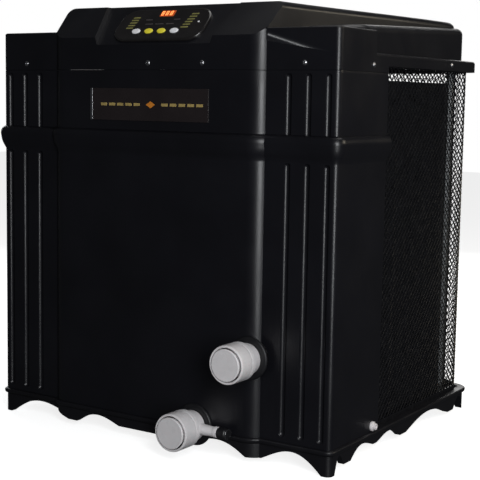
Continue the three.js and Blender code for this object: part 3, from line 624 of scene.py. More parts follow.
def cover_solids(shrink):
    """The cover's four overlapping forms: skirt, front block, dome and hump."""
    foot = SEAM_Z - (1 * MM if shrink else 0)
    skirt = [at(footprint(-shrink), foot)]
    skirt += [at(footprint(-shrink - i), z) for i, z in rolled(SKIRT_Z - shrink, 8 * MM)]
    ledge = LEDGE_Z - shrink
    back = CORNER_BACK - shrink
    front = [at(front_path(-shrink, back, False), SKIRT_Z - 30 * MM)]
    front += [at(front_path(-shrink - i, back - i, False), z) for i, z in rolled(ledge, 5 * MM)]

    def dome_outline(inset):
        front, rear = DOME_FRONT + inset, DOME_BACK - inset
        return rounded_box(DOME_HALF - inset, front, rear, DOME_R - inset)

    climb = (DOME_REAR_Z - DOME_Z) / DOME_BACK
    dome = [at(dome_outline(shrink), SKIRT_Z - 30 * MM)]
    for i, drop in rolled(0, 20 * MM, 8):
        top = DOME_Z - shrink + drop
        dome.append([(x, y + PLANE_Y, top + climb * y) for x, y in dome_outline(shrink + i)])
    hump = [hump_ring(shrink, lambda top: LEDGE_Z - 30 * MM)]
    for i, drop in rolled(0, 18 * MM, 8):
        hump.append(hump_ring(shrink + i, lambda top, drop=drop: top - shrink + drop))
    names = ("skirt", "front", "dome", "hump")
    return [loft(n, rings, "cabinet_black") for n, rings in zip(names, (skirt, front, dome, hump))]


def leaning_block(name, foot, tilt, drop, half):
    """Everything above a plane that leans back from a line along X."""
    size = 0.6
    low = -0.1
    corners = [(-half, low), (half, low), (half, size + low), (-half, size + low)]
    turn = Matrix.Translation((0, foot[0] + PLANE_Y, foot[1])) @ Matrix.Rotation(tilt, 4, "X")
    rings = [[turn @ Vector((x, y, z)) for x, y in corners] for z in (-drop, size - drop)]
    return loft(name, rings, "cabinet_black")


def keypad_recess():
    def ring(z, spread):
        narrow = 178 * MM + spread
        wide = 212 * MM + spread
        low, high = -4 * MM, KEYPAD_REACH
        outline = [(-narrow, low), (narrow, low), (wide, high), (-wide, high)]
        return [keypad_place() @ Vector((x, y, z)) for x, y in outline]

    return loft("recess", [ring(0, 0), ring(90 * MM, 26 * MM)], "cabinet_black")


def upright(name, r, z0, z1, sides=128):
    place = Matrix.Translation((0, FAN_Y + PLANE_Y, 0))
    return lathe(name, [(r, z0), (r, z1)], place, "cabinet_black", sides)


def top_cover():
    cover, *rest = cover_solids(0)
    carve(cover, rest, "UNION")
    carve(cover, [leaning_block("slope", SLOPE_FOOT, SLOPE_TILT, 0, HALF)])
    hollow, *rest = cover_solids(COVER_WALL)
    carve(hollow, rest, "UNION")
    carve(
        hollow,
        [
            leaning_block("slope", SLOPE_FOOT, SLOPE_TILT, COVER_WALL, HALF),
            leaning_block("keypad", KEYPAD_FOOT, KEYPAD_TILT, COVER_WALL + 2 * MM, 0.25),
        ],
    )
    well = upright("well", FAN_SEAT_R + 6 * MM, FAN_SEAT_Z - 6 * MM, HUMP_Z + 10 * MM)
    shape = cover.copy()
    shape.data = cover.data.copy()
    bpy.context.scene.collection.objects.link(shape)
    carve(well, [shape], "INTERSECT")
    carve(cover, [hollow])
    throat = upright("throat", FAN_OPENING_R + 6 * MM, THROAT_Z, FAN_SEAT_Z - 3 * MM)
    flange = upright("flange", FAN_OPENING_R + 24 * MM, THROAT_Z, THROAT_Z + 5 * MM)
    carve(cover, [well, throat, flange], "UNION")
    past = 10 * MM
    step_low = (-HALF - past, RETURN, SEAM_Z - past)
    step_high = (HALF + past, BACK + past, SKIRT_FOOT_Z)
    carve(
        cover,
        [
            upright("seat", FAN_SEAT_R, FAN_SEAT_Z, HUMP_Z + 50 * MM),
            upright("opening", FAN_OPENING_R, THROAT_Z - 20 * MM, HUMP_Z + 50 * MM),
            block("step", step_low, step_high, "cabinet_black"),
            keypad_recess(),
        ],
    )
    round_edges(cover, 2.4 * MM)
    cover.name = "cover"
    return finish_piece(cover, "cabinet_black", "top_cover")


# ---- base pan
PAN_SHELF_Z = LIP_Z - 21 * MM
SUMP_Z = LIP_Z - 23 * MM
SCALLOP_Z = LIP_Z - 20 * MM
# each foot's start, end and height off the ground, in millimetres
FRONT_FEET = ((-530, -506, 0), (-276, -246, 17), (-100, 128, 26), (300, 336, 14), (506, 530, 0))
SIDE_FEET = (
    (0, 24, 0), (70, 106, 17), (226, 246, 30), (384, 420, 17), (698, 736, 12), (810, 834, 0),
)
UNDER = -20 * MM                 # where the cutters below the pan start


def arch(foot, next_foot, steps=32):
    """The skirt's lower edge between two feet, as (place, height) pairs."""
    (_, start, low), (end, _, next_low) = foot, next_foot
    edge = []
    for i in range(steps + 1):
        t = i / steps
        base = low + (next_low - low) * t
        rise = (SCALLOP_Z / MM - base) * math.sin(math.pi * t)
        edge.append(((start + (end - start) * t) * MM, (base + rise) * MM))
    return edge


def scallop_cutters():
    cutters = []
    for feet, along_x in ((FRONT_FEET, True), (SIDE_FEET, False)):
        for foot, next_foot in zip(feet, feet[1:]):
            edge = arch(foot, next_foot)
            profile = edge[::-1] + [(edge[0][0], UNDER), (edge[-1][0], UNDER)]
            cutters.append(prism("arch", profile, along_x))
        for start, end, low in feet:
            if low:
                a, b, low = (start - 1) * MM, (end + 1) * MM, low * MM
                profile = [(b, low), (a, low), (a, UNDER), (b, UNDER)]
                cutters.append(prism("trim", profile, along_x))
    return cutters


def prism(name, profile, along_x):
    """A profile of (place, height) swept right through the pan along the other axis."""
    if along_x:
        ends = (-0.1 + PLANE_Y, BACK + 0.1 + PLANE_Y)
        rings = [[(p, y, h) for p, h in profile] for y in reversed(ends)]
    else:
        ends = (HALF + 0.1, -HALF - 0.1)
        rings = [[(x, p + PLANE_Y, h) for p, h in profile] for x in reversed(ends)]
    return loft(name, rings, "pan_black")


def base_pan():
    rim = fillet(
        [
            (LIP_Z - 16 * MM, -2 * MM),
            (LIP_Z - 11 * MM, RIM_PROUD - 1 * MM),
            (LIP_Z - 3 * MM, RIM_PROUD),
            (LIP_Z, 4 * MM),
            (LIP_Z, -PAN_WALL + 1 * MM),
        ],
        3 * MM,
    )
    pan = loft("pan", [at(footprint(0), 0), at(footprint(0), LIP_Z - 12 * MM)], "pan_black")
    carve(pan, [loft("inside", [at(footprint(-PAN_WALL), z) for z in (-0.01, LIP_Z)], "pan_black")])
    carve(pan, scallop_cutters())
    round_edges(pan, 1.6 * MM, 40, 2)
    band = rim_band(rim)
    shelf_ring = footprint(1 * MM - PAN_WALL)
    shelf_levels = (PAN_SHELF_Z, PAN_SHELF_Z + 6 * MM)
    shelf = loft("shelf", [at(shelf_ring, z) for z in shelf_levels], "pan_black")
    tray = rounded_box(HALF - 92 * MM, 34 * MM, BACK - 92 * MM, 40 * MM)
    floor = rounded_box(HALF - 110 * MM, 52 * MM, BACK - 110 * MM, 30 * MM)
    carve(shelf, [loft("tray", [at(floor, SUMP_Z), at(tray, LIP_Z)], "pan_black")])
    sump = loft("sump", [at(floor, SUMP_Z - 6 * MM), at(floor, SUMP_Z)], "pan_black")
    whole = joined("pan", [pan, band, shelf, sump])
    return finish_piece(whole, "cabinet_black", "base_pan")


def rim_band(outline):
    """The rolled rim: the outline swept round the footprint, closed on the inside."""
    outer = [at(footprint(grow), z) for z, grow in outline]
    inner = at(footprint(-PAN_WALL + 1 * MM), LIP_Z - 16 * MM)
    rings = outer + [inner]
    n = len(inner)
    points = [p for ring in rings for p in ring]
    faces = []
    for r in range(len(rings)):
        s = (r + 1) % len(rings)
        for i in range(n):
            j = (i + 1) % n
            faces.append((r * n + i, r * n + j, s * n + j, s * n + i))
    return build("rim", points, faces, "pan_black", 40)


# ---- mesh guards
GUARD_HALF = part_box("right_guard")[1][0]
GUARD_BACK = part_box("rear_guard")[1][1] - PLANE_Y
GUARD_R = 60 * MM
CELL = 20 * MM                   # pitch of the diamonds
STRAND = 1.5 * MM                # half thickness of a coated strand
WEAVE = 0.6 * MM                 # how far a strand rises and dips
SHEET_SINK = 2.4 * MM            # the mesh's middle below the guard's outer face
RIDGE_BASE = 3 * MM
RIDGES = ((327 * MM, 17 * MM, 4.5 * MM), (619 * MM, 7 * MM, 3 * MM))   # place, half width, height


def guard_point(s, z, out, mirror):
    """A point of the side guard: s runs back along the side and round the rear corner."""
    straight = GUARD_BACK - GUARD_R
    lift = out - SHEET_SINK
    for middle, half, height in RIDGES:
        gap = abs(s - middle) / half
        if gap < 1:
            lift += (height - RIDGE_BASE) * (0.5 + 0.5 * math.cos(math.pi * gap))
    if s < straight:
        x, y = GUARD_HALF + lift, s
    else:
        a = min(QUARTER, (s - straight) / GUARD_R)
        x = GUARD_HALF - GUARD_R + (GUARD_R + lift) * math.cos(a)
        y = straight + (GUARD_R + lift) * math.sin(a)
    return (-x if mirror else x, y + PLANE_Y, z)


def rear_point(s, z, out, _):
    return (s, GUARD_BACK - SHEET_SINK + out + PLANE_Y, z)


def add_strand(points, faces, place, a, b, over, mirror):
    """One strand of a diamond, a four-sided bar that rises over its neighbour in the middle."""
    along = Vector((b[0] - a[0], b[1] - a[1])).normalized()
    across = Vector((-along.y, along.x)) * STRAND
    rings = []
    for (s, z), lift in ((a, -over), (b, over)):
        rings.append([
            place(s + across.x * du, z + across.y * du, lift * WEAVE + dn * STRAND, mirror)
            for du, dn in ((-1, 0), (0, 1), (1, 0), (0, -1))
        ])
    add_body(points, faces, rings)


def mesh_sheet(name, place, s0, s1, mirror=False):
    z0 = LIP_Z + 1 * MM
    z1 = SKIRT_FOOT_Z + 8 * MM
    columns = round((s1 - s0) / CELL)
    rows = round((z1 - z0) / CELL)
    du = (s1 - s0) / columns / 2
    dz = (z1 - z0) / rows / 2
    points = []
    faces = []
    for c in range(2 * columns):
        for r in range(2 * rows):
            u = s0 + c * du
            v = z0 + r * dz
            rising = (c + r) % 2 == 0
            a = (u, v) if rising else (u, v + dz)
            b = (u + du, v + dz) if rising else (u + du, v)
            add_strand(points, faces, place, a, b, 1 if rising else -1, mirror)
    return build(name, points, faces, "guard_black", 50)


def edge_bar(name, place, s0, s1, z0, z1, mirror=False):
    """A flat binding strip along an edge of a guard."""
    steps = max(1, round((s1 - s0) / (8 * MM)))
    outline = [(z0, -1 * MM), (z1, -1 * MM), (z1, 2.2 * MM), (z0, 2.2 * MM)]
    stations = [s0 + (s1 - s0) * i / steps for i in range(steps + 1)]
    rings = [[place(s, z, out, mirror) for z, out in outline] for s in stations]
    return loft(name, rings, "guard_black", 50)


def guard(node, place, s0, s1, mirror=False):
    low = LIP_Z + GAP
    high = SKIRT_FOOT_Z + 9 * MM
    edge = 12 * MM
    bars = (
        (s0, s1, low, low + edge), (s0, s1, high - edge, high),
        (s0, s0 + edge, low, high), (s1 - 8 * MM, s1, low, high),
    )
    parts = [mesh_sheet(node, place, s0 + 6 * MM, s1 - 3 * MM, mirror)]
    parts += [edge_bar(node, place, *bar, mirror) for bar in bars]
    return finish_piece(joined(f"{node}_mesh", parts), "guard_black", node)


def guards():
    bend_end = GUARD_BACK - GUARD_R + QUARTER * GUARD_R
    guard("right_guard", guard_point, RETURN + 2 * MM, bend_end)
    guard("left_guard", guard_point, RETURN + 2 * MM, bend_end, True)
    half = GUARD_HALF - GUARD_R - GAP
    guard("rear_guard", rear_point, -half, half)


# ---- air coil
COIL_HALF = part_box("evaporator_coil")[1][0]
COIL_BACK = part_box("evaporator_coil")[1][1] - PLANE_Y
COIL_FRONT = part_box("evaporator_coil")[0][1] - PLANE_Y
COIL_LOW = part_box("evaporator_coil")[0][2]
COIL_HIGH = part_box("evaporator_coil")[1][2]
COIL_DEPTH = 40 * MM
COIL_R = 95 * MM
FIN_PITCH = 3.4 * MM
FIN = 0.5 * MM
TUBE_PITCH = 25 * MM


def coil_path(inset, spacing):
    """Points and outward normals along the coil's U, spaced evenly."""
    half = COIL_HALF - inset
    r = COIL_R - inset
    bend = arc(COIL_HALF - COIL_R, COIL_BACK - COIL_R, r, 0, QUARTER, 24)
    right = [(half, COIL_FRONT), *bend]
    route = right + mirrored(right)
    out = []
    carry = 0.0
    for (x0, y0), (x1, y1) in zip(route, route[1:]):
        length = math.hypot(x1 - x0, y1 - y0)
        if not length:
            continue
        ux, uy = (x1 - x0) / length, (y1 - y0) / length
        while carry < length:
            out.append(((x0 + ux * carry, y0 + uy * carry), (uy, -ux)))
            carry += spacing
        carry -= length
    return out


def coil_fins():
    points = []
    faces = []
    deep = COIL_DEPTH - 1 * MM
    for (x, y), (nx, ny) in coil_path(0, FIN_PITCH):
        tx, ty = -ny * FIN / 2, nx * FIN / 2
        corners = [(x + tx, y + ty), (x - tx, y - ty)]
        corners += [(px - nx * deep, py - ny * deep) for px, py in reversed(corners)]
        add_body(points, faces, [at(corners, z) for z in (COIL_LOW, COIL_HIGH)])
    piece = build("coil_fins", points, faces, "fin_aluminium", 40)
    return finish_piece(piece, "fin_aluminium", "evaporator_coil")


def tube_along(name, path, radius, look_name, sides=10):
    """A closed round tube through points at one level."""
    rings = []
    turns = [2 * math.pi * k / sides for k in range(sides)]
    for i, p in enumerate(path):
        ahead = Vector(path[min(i + 1, len(path) - 1)]) - Vector(path[max(i - 1, 0)])
        side = ahead.cross(Vector((0, 0, 1))).normalized() * radius
        up = Vector((0, 0, radius))
        rings.append([Vector(p) + side * math.cos(a) + up * math.sin(a) for a in turns])
    return loft(name, rings, look_name, 50)


def coil_tubes():
    route = [p for p, _ in coil_path(COIL_DEPTH / 2, 12 * MM)]
    tubes = []
    z = COIL_LOW + TUBE_PITCH / 2
    while z < COIL_HIGH:
        path = at(route, z)
        tubes.append(tube_along("coil_tubes", path, 4.7 * MM, "copper", 8))
        z += TUBE_PITCH
    return finish_piece(joined("coil_tubes", tubes), "copper")


# ---- fan
FAN_AXIS = Vector((0, FAN_Y + PLANE_Y, 0))
GUARD_WIRE = 2.4 * MM
GRILLE_INNER = 52 * MM
GRILLE_GAPS = 15
GRILLE_SPOKES = 8                # each one a full diameter
BLADES = 4
BLADE_THICK = 2 * MM             # half its thickness at mid chord
BLADE_LEAN = 0.35                # how far the tip trails, in radians


def ring_wire(name, radius, z):
    profile = arc(radius, z, GUARD_WIRE, 0, 2 * math.pi, 10)[:-1]
    return lathe(name, profile, Matrix.Translation(FAN_AXIS), "grille_black", 96, True, 60)


def fan_guard():
    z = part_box("fan_guard")[0][2] + GUARD_WIRE
    outer = FAN_SEAT_R - 6 * MM
    gap = (outer - GRILLE_INNER) / GRILLE_GAPS
    parts = [ring_wire("grille", GRILLE_INNER + gap * i, z) for i in range(GRILLE_GAPS + 1)]
    for i in range(GRILLE_SPOKES):
        a = math.pi * i / GRILLE_SPOKES
        reach = Vector((math.cos(a), math.sin(a), 0)) * outer
        lift = Vector((0, 0, z + 2 * GUARD_WIRE * 0.9))
        path = [FAN_AXIS + lift - reach, FAN_AXIS + lift + reach]
        parts.append(tube_along("grille", path, GUARD_WIRE, "grille_black", 12))
    cap = fillet([(0.0005, z), (48 * MM, z), (46 * MM, z + 7 * MM), (0.0005, z + 8 * MM)], 3 * MM)
    parts.append(lathe("grille", cap, Matrix.Translation(FAN_AXIS), "grille_black", 64))
    return finish_piece(joined("top_grille", parts), "grille_black", "fan_guard")


def fan_blades():
    low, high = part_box("fan_blades")
    middle = (low[2] + high[2]) / 2
    parts = [
        blade(2 * math.pi * i / BLADES, middle, high[2] - middle) for i in range(BLADES)
    ]
    half = 19 * MM
    bore = 8.4 * MM
    outline = [(bore, -half), (42 * MM, -half), (42 * MM, 15 * MM), (30 * MM, half), (bore, half)]
    hub = fillet([(r, middle + h) for r, h in outline], 5 * MM)
    parts.append(lathe("fan", hub, Matrix.Translation(FAN_AXIS), "fan_plastic", 64, True))
    return finish_piece(joined("fan_rotor", parts), "fan_plastic", "fan_blades", body="fan")


def blade(turn, middle, rise):
    """A broad swept blade, steeper near the hub, with a cambered section."""
    spans, chords = 14, 12

    def surface(t, k, side):
        r = (38 + 207 * t) * MM
        width = (70 + 60 * t - 30 * t * t) * MM
        pitch = math.radians(30 - 13 * t)
        u = k / chords - 0.5
        across = u * width
        camber = (0.25 - u * u) * 14 * MM
        edge = BLADE_THICK * math.sqrt(max(0.02, 1 - (2 * u) ** 2)) * side
        h = -across * math.sin(pitch) + camber + edge
        h = max(-rise * 0.95, min(rise * 0.95, h))
        a = turn + BLADE_LEAN * t + across * math.cos(pitch) / max(r, 0.06)
        return FAN_AXIS + Vector((r * math.cos(a), r * math.sin(a), middle + h))

    rings = []
    for i in range(spans + 1):
        under = [surface(i / spans, k, -1) for k in range(chords + 1)]
        rings.append(under + [surface(i / spans, k, 1) for k in range(chords, -1, -1)])
    return loft("fan", rings, "fan_plastic", 50)


# ---- water unions
def port_axis(port):
    """A frame on a port's centre line: local Z points out of the cabinet from the raised face."""
    low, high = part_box(f"{port}_union_nut")
    middle = ((low[0] + high[0]) / 2, PLANE_Y - PROUD, (low[2] + high[2]) / 2)
    return axis_frame(middle, (0, -1, 0))


def port_hole(port):
    profile = [(PORT_R, -80 * MM), (PORT_R, 40 * MM)]
    return lathe("hole", profile, port_axis(port), "cabinet_black", 64)


def mm_profile(pairs, radius):
    """(radius, height) pairs in millimetres, with rounded corners."""
    return fillet([(r * MM, h * MM) for r, h in pairs], radius * MM, 4)


def closed_ring(name, pairs, port, look_name, soft):
    """A turned ring from a closed outline whose corners are all rounded."""
    start = ((pairs[0][0] + pairs[-1][0]) / 2, (pairs[0][1] + pairs[-1][1]) / 2)
    profile = mm_profile([start, *pairs, start], soft)[:-1]
    return lathe(name, profile, port_axis(port), look_name, 96, True)


def side_axis(node):
    """The frame and length in millimetres of a fitting that points along +X."""
    low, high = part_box(node)
    start = (low[0], (low[1] + high[1]) / 2, (low[2] + high[2]) / 2)
    return axis_frame(start, (1, 0, 0)), (high[0] - low[0]) / MM


def escutcheon(port):
    ring = closed_ring(
        f"{port}_ring",
        [(31.4, 0.4), (31.4, 8), (46, 8), (52, 6), (54, 2.5), (54, 0.4)],
        port, "fitting_black", 1.6,
    )
    finish_piece(ring, "fitting_black", f"{port}_escutcheon")


BODY = (
    (25, 50), (43, 50), (43, 38), (41.4, 38), (41, 30), (39.6, 14), (38.6, 9.2), (31, 9.2),
    (31, -60), (25, -60),
)
NUT = (
    (43.6, 42), (47.2, 42), (48, 44), (48, 56), (47.2, 58), (47.2, 60), (48, 62), (48, 100),
    (46.6, 104), (43.4, 104), (42, 102), (41.2, 98), (41.2, 60), (43.6, 60),
)
TAILPIECE = ((30, 103.9), (36, 103.9), (36, 58), (43, 58), (43, 50.4), (30, 50.4))
PLUG = (
    (0.5, 70), (29.2, 70), (29.6, 104.4), (39.6, 104.4), (39.6, 106.6), (38.2, 108),
    (33, 107.7), (0.5, 107.3),
)


def union_body(port, with_branch):
    body = closed_ring(f"{port}_body", BODY, port, "white_pvc", 1.4)
    if with_branch:
        cap, _ = side_axis("drain_cap")
        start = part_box(f"{port}_union_body")[0][0] + 74 * MM
        reach = (cap.translation.x - GAP - start) / MM
        outline = [
            (0.5, 0), (16, 0), (14, 12), (12.6, reach - 12), (14, reach - 10), (14, reach),
            (0.5, reach),
        ]
        place = axis_frame((start, cap.translation.y, cap.translation.z), (1, 0, 0))
        arm = lathe("branch", mm_profile(outline, 1.2), place, "white_pvc", 64)
        body = joined(f"{port}_body", [body, arm])
    finish_piece(body, "white_pvc", f"{port}_union_body")


def union_nut(port):
    nut = closed_ring(f"{port}_nut", NUT, port, "white_pvc", 1.3)
    finish_piece(nut, "white_pvc", f"{port}_union_nut", body=f"{port}_nut")


def tailpiece(port):
    piece = closed_ring(f"{port}_tail", TAILPIECE, port, "white_pvc", 1.0)
    finish_piece(piece, "white_pvc", f"{port}_tailpiece")


def dust_plug(port):
    piece = lathe(f"{port}_disc", mm_profile(PLUG, 0.9), port_axis(port), "white_pvc", 96)
    nodes = (f"{port}_dust_plug", f"{port}_plug_bung")
    finish_piece(piece, "white_pvc", *nodes, body=f"{port}_plug")


def drain_cap():
    low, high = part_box("drain_cap")
    place, length = side_axis("drain_cap")
    r = (high[2] - low[2]) / 2 / MM - 0.2
    dish = r - 2.6
    outline = [
        (0.5, 0), (r - 1.5, 0), (r, 2), (r, length - 8), (dish, length - 5),
        (dish, length - 0.4), (0.5, length),
    ]
    cap = lathe("cap", mm_profile(outline, 1.0), place, "fitting_black", 48)
    # A bright metal ring near the cap's end: a painted highlight on the black cap.
    inner, outer = r - 2.5, r - 0.4
    outline = [(inner, length - 3), (outer, length - 3), (outer, length - 1), (inner, length - 1)]
    rim = lathe("cap_painted_highlight", mm_profile(outline, 0.4), place, "bright_trim", 48, True)
    finish_piece(cap, "fitting_black", "drain_cap", body="drain_stopper")
    finish_piece(rim, "screw_steel", body="drain_stopper")


def drain_fitting():
    place, length = side_axis("drain_fitting")
    outline = [
        (0.4, 0), (12.4, 0), (12.4, 5), (10.5, 6.4), (7.4, 6.6), (8.4, 8), (7.6, 10.4), (8.4, 11),
        (7.6, length - 0.3), (4.5, length), (4.5, length - 5), (0.4, length - 5),
    ]
    piece = lathe("spigot", mm_profile(outline, 0.6), place, "white_pvc", 48)
    finish_piece(piece, "white_pvc", "drain_fitting")


def unions():
    for port in ("outlet", "inlet"):
        escutcheon(port)
        union_body(port, port == "inlet")
        union_nut(port)
        tailpiece(port)
        dust_plug(port)
    drain_cap()
    drain_fitting()


# ---- badge and screws
BADGE_BARS = 5                   # plain bars either side of the lozenge


def face_sheet(name, x, z, front, back, look_name, soft):
    """A thin upright plate on the front, with rounded edges."""
    low, high = (x[0], back - PLANE_Y, z[0]), (x[1], front - PLANE_Y, z[1])
    piece = block(name, low, high, look_name)
    piece.data.flip_normals()
    return round_edges(piece, soft * MM, 40, 3)


def badge():
    low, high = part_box("badge_plate")
    front = low[1]
    face = front + 0.8 * MM
    print_y = front + 0.3 * MM
    wide, tall = (low[0], high[0]), (low[2], high[2])
    plate = face_sheet("badge", wide, tall, front + 0.7 * MM, high[1], "badge_brown", 0.6)
    finish_piece(plate, "badge_brown", "badge_plate")
    # A bright metal strip down the plate's left edge: a painted highlight where the badge's rounded
    # edge catches the light.
    edge = (low[0], low[0] + 7 * MM)
    strip = face_sheet("badge_painted_highlight", edge, tall, front, face, "bright_trim", 0.3)
    finish_piece(strip, "badge_brown")
    middle = (low[2] + high[2]) / 2
    tall = (middle - 3.6 * MM, middle + 3.6 * MM)
    bars = []
    for side in (-1, 1):
        for i in range(BADGE_BARS):
            near = (34 + i * 27) * MM
            across = sorted((side * near, side * (near + 20 * MM)))
            bars.append(face_sheet("bar", across, tall, print_y, face, "gold_print", 0.2))
    finish_piece(joined("badge_bars", bars), "badge_brown")
    half, rise = 14 * MM, 9 * MM
    turns = [2 * math.pi * i / 4 for i in range(4)]
    rings = [
        [(half * math.cos(a), y, middle + rise * math.sin(a)) for a in turns]
        for y in (face, print_y)
    ]
    finish_piece(loft("badge_lozenge", rings, "amber_print"), "badge_brown")


def screw(node):
    """A domed head with a cross recess, on a washer."""
    low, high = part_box(node)
    spans = [high[i] - low[i] for i in range(3)]
    middle = Vector([(high[i] + low[i]) / 2 for i in range(3)])
    axis = 1 if "front" in node else 0
    direction = Vector((0, 0, 0))
    direction[axis] = -1 if middle[axis] < 0 else 1
    base = middle - direction * spans[axis] / 2
    r = spans[2] / 2 / MM
    h = spans[axis] / MM
    place = axis_frame(base, direction)
    outline = [
        (0.3, 0), (r, 0), (r, 0.9), (r * 0.8, 1.1), (r * 0.76, h * 0.6), (r * 0.45, h * 0.94),
        (0.3, h),
    ]
    head = lathe(node, mm_profile(outline, 0.5), place, "screw_steel", 40)
    for turn in (0, QUARTER):
        reach, width = r * 0.42 * MM, r * 0.09 * MM
        spin = place @ Matrix.Rotation(turn + 0.4, 4, "Z")
        outline = [(-reach, -width), (reach, -width), (reach, width), (-reach, width)]
        levels = (h * 0.45 * MM, (h + 2) * MM)
        rings = [[spin @ Vector((x, y, z)) for x, y in outline] for z in levels]
        carve(head, [loft("slot", rings, "screw_steel")])
    soften(head, 30)
    finish_piece(head, "screw_steel", node)


# ---- key panel
def keypad_place():
    """The key panel's own frame: X across, Y up the slope, Z out of its floor."""
    foot = Matrix.Translation((0, KEYPAD_FOOT[0] + PLANE_Y, KEYPAD_FOOT[1]))
    return foot @ Matrix.Rotation(KEYPAD_TILT, 4, "X")


BEZEL_HALF = 141
BEZEL_Y = (6, 121)
BEZEL_R = 44
KEYS = (
    ("mode", "button_white"), ("down", "button_amber"),
    ("up", "button_amber"), ("power", "button_white"),
)
KEY_X = -8
KEY_Y = 38
KEY_PITCH = 40
KEY_R = (13, 8.5)
DISPLAY = (-22, 22, 92, 113)


def panel_loft(name, outline, levels, look_name, sharp=32):
    """An outline function of inset, lofted through (inset, height) pairs in millimetres."""
    place = keypad_place()
    rings = [[place @ Vector((x * MM, y * MM, z * MM)) for x, y in outline(i)] for i, z in levels]
    return loft(name, rings, look_name, sharp)


def bezel_outline(inset):
    r = BEZEL_R - inset
    x = BEZEL_HALF - BEZEL_R
    y0, y1 = BEZEL_Y[0] + BEZEL_R, BEZEL_Y[1] - BEZEL_R
    corners = ((x, y0, -1), (x, y1, 0), (-x, y1, 1), (-x, y0, 2))
    return [p for cx, cy, q in corners for p in arc(cx, cy, r, q * QUARTER, (q + 1) * QUARTER, 14)]


def oval_outline(cx, cy, rx, ry):
    turns = [2 * math.pi * i / 48 for i in range(48)]
    return lambda inset: [
        (cx + (rx - inset) * math.cos(a), cy + (ry - inset) * math.sin(a)) for a in turns
    ]


def plate_outline(x0, x1, y0, y1, r, lean=0.0):
    def outline(inset):
        a, b, c, d = x0 + inset, x1 - inset, y0 + inset, y1 - inset
        k = max(0.1, r - inset)
        corners = ((b - k, c + k, -1), (b - k, d - k, 0), (a + k, d - k, 1), (a + k, c + k, 2))
        ring = []
        for cx, cy, q in corners:
            ring += arc(cx, cy, k, q * QUARTER, (q + 1) * QUARTER, 4)
        return [(x + lean * (y - y0), y) for x, y in ring]

    return outline


def key_centre(i):
    return KEY_X + (i - 1.5) * KEY_PITCH


def bezel():
    levels = [
        (0, 0.3), (0, 3.4), (0.4, 4.6), (1.2, 5.6), (2.4, 6.4), (4, 6.9), (6, 6.98),
        (9, 6.6), (10, 6.5),
    ]
    body = panel_loft("bezel", bezel_outline, levels, "console_face", 40)
    rx, ry = (r + 0.6 for r in KEY_R)
    holes = [oval_outline(key_centre(i), KEY_Y, rx, ry) for i in range(4)]
    tools = [panel_loft("hole", hole, [(0, -2), (0, 20)], "console_face") for hole in holes]
    x0, x1, y0, y1 = DISPLAY
    well = plate_outline(x0 - 0.4, x1 + 0.4, y0 - 0.4, y1 + 0.4, 1.5)
    tools.append(panel_loft("well", well, [(0, 3), (0, 20)], "console_face"))
    carve(body, tools)
    soften(body, 34)
    finish_piece(body, "console_face", "control_bezel")


def display():
    x0, x1, y0, y1 = DISPLAY
    levels = [(0, 3.4), (0, 6.8), (0.8, 7.5)]
    lens = panel_loft("display", plate_outline(x0, x1, y0, y1, 1.4), levels, "display_red")
    finish_piece(lens, "display_red", "display_window")
    digits = [segment(x0 + 8 + d * 13.5, y0 + 3, s) for d in range(3) for s in SEGMENTS]
    finish_piece(joined("display_digits", digits), "display_red")


# a figure eight of bars: (x0, y0, x1, y1) in millimetres from the digit's lower left
SEGMENTS = ((0, 0, 7, 1.6), (0, 6.7, 7, 8.3), (0, 13.4, 7, 15), (0, 0, 1.6, 15), (5.4, 0, 7, 15))


def segment(x, y, bar):
    outline = plate_outline(x - 4 + bar[0], x - 4 + bar[2], y + bar[1], y + bar[3], 0.3)
    return panel_loft("segment", outline, [(0, 7.2), (0, 7.9)], "segment_red")


def keys():
    levels = [(0, 2.6), (0, 7.2), (0.3, 8.0), (1.0, 8.7), (2.2, 9.2), (4, 9.45), (6.5, 9.5)]
    for i, (name, color) in enumerate(KEYS):
        outline = oval_outline(key_centre(i), KEY_Y, *KEY_R)
        piece = panel_loft(f"{name}_key_cap", outline, levels, color, 50)
        finish_piece(piece, color, f"{name}_button", body=f"{name}_key")


def indicators():
    """Two leaning columns of small lamps, and plain label bars round the display."""
    bars = []
    for x, y0, count, lean in ((-97, 48, 5, 0.12), (76, 48, 6, 0.25)):
        for i in range(count):
            y = y0 + i * 9.6
            shift = x + lean * (y - y0)
            outline = plate_outline(shift - 11, shift + 11, y, y + 4.6, 1.2, 0.3)
            bars.append(panel_loft("lamp", outline, [(0, 6.4), (0, 6.9), (0.5, 7.1)], "lamp_olive"))
    finish_piece(joined("indicator_lamps", bars), "console_face")
    levels = [(0, 6.3), (0, 6.9), (0.8, 7.2)]
    dot = panel_loft("ready_lamp", oval_outline(112, 69, 2.6, 2.6), levels, "button_white")
    finish_piece(dot, "console_face")
    places = ((-52, 62, 24), (-20, 62, 26), (14, 62, 24), (-58, 78, 20), (30, 78, 20))
    outlines = [plate_outline(x, x + w, y, y + 3.6, 0.8) for x, y, w in places]
    labels = [panel_loft("label", o, [(0, 6.3), (0, 6.8)], "label_grey") for o in outlines]
    finish_piece(joined("panel_labels", labels), "console_face")


# ---- carried-over CAD nodes
def dress_cad():
    """Every CAD node that stays gets its slot's material."""
    slots = {s["node"]: s["material_slot"] for s in frame["record"]["subparts"]}
    for name, node in frame["nodes"].items():
        material = look(slots[name])
        for slot in node.material_slots:
            slot.material = material


# ---- stage
def area_light(name, at_point, size, power, color):
    lamp = bpy.data.objects.new(name, bpy.data.lights.new(name, "AREA"))
    lamp.data.shape = "RECTANGLE"
    lamp.data.size, lamp.data.size_y = size
    lamp.data.energy = power
    lamp.data.color = color
    lamp.location = at_point
    away = Vector(at_point) - LIGHT_TARGET
    lamp.rotation_euler = away.to_track_quat("Z", "Y").to_euler()
    bpy.context.scene.collection.objects.link(lamp)


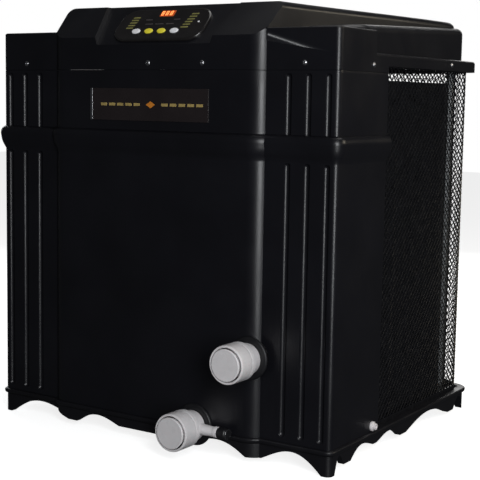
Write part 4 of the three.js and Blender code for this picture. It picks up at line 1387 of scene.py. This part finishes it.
# name: place, size, watts, colour
LIGHTS = {
    "key_softbox": ((2.35, -2.35, 1.25), (0.8, 2.6), 70, (0.96, 0.98, 1.0)),
    "overhead": ((0.2, 0.6, 3.6), (2.2, 2.2), 26, (1.0, 0.99, 0.97)),
    "warm_side": ((3.3, 1.5, 2.3), (1.6, 1.0), 24, (1.0, 0.9, 0.72)),
    "left_fill": ((-3.2, 1.2, 1.6), (1.2, 2.0), 16, (0.94, 0.97, 1.0)),
    "rear_fill": ((-0.6, 3.6, 1.6), (1.6, 1.8), 20, (1.0, 0.99, 0.97)),
}
LIGHT_TARGET = Vector((0, 0.1, 0.6))


def floor():
    size = 12.0
    corners = [(-size, -size), (size, -size), (size, size), (-size, size)]
    mesh = bpy.data.meshes.new("floor")
    mesh.from_pydata([(x, y, -0.0005) for x, y in corners], [], [(0, 1, 2, 3)])
    ground = bpy.data.objects.new("floor", mesh)
    bpy.context.scene.collection.objects.link(ground)
    mesh.materials.append(look("floor"))
    ground.visible_glossy = False
    ground.visible_diffuse = False


def world():
    """Pale to the eye, and dim as a light, so that black plastic stays black."""
    backdrop = bpy.data.worlds.new("studio")
    bpy.context.scene.world = backdrop
    backdrop.use_nodes = True
    nodes = backdrop.node_tree.nodes
    links = backdrop.node_tree.links
    shade = nodes["Background"]
    shade.inputs["Color"].default_value = (0.9, 0.93, 1.0, 1)
    shade.inputs["Strength"].default_value = 0.035
    seen = nodes.new("ShaderNodeBackground")
    seen.inputs["Color"].default_value = (1, 1, 1, 1)
    seen.inputs["Strength"].default_value = 1.0
    mix = nodes.new("ShaderNodeMixShader")
    ray = nodes.new("ShaderNodeLightPath")
    links.new(ray.outputs["Is Camera Ray"], mix.inputs["Fac"])
    links.new(shade.outputs["Background"], mix.inputs[1])
    links.new(seen.outputs["Background"], mix.inputs[2])
    links.new(mix.outputs["Shader"], nodes["World Output"].inputs["Surface"])


# ---- assembly
make_camera()
dress_cad()
lower_front_panel()
upper_front_panel()
top_cover()
base_pan()
guards()
coil_fins()
coil_tubes()
fan_guard()
fan_blades()
unions()
badge()
for screw_node in sorted(n for n in frame["nodes"] if n.startswith("cover_screw")):
    screw(screw_node)
bezel()
display()
keys()
indicators()
for light_name, settings in LIGHTS.items():
    area_light(light_name, *settings)
floor()
world()
bpy.context.scene.view_settings.view_transform = "Standard"
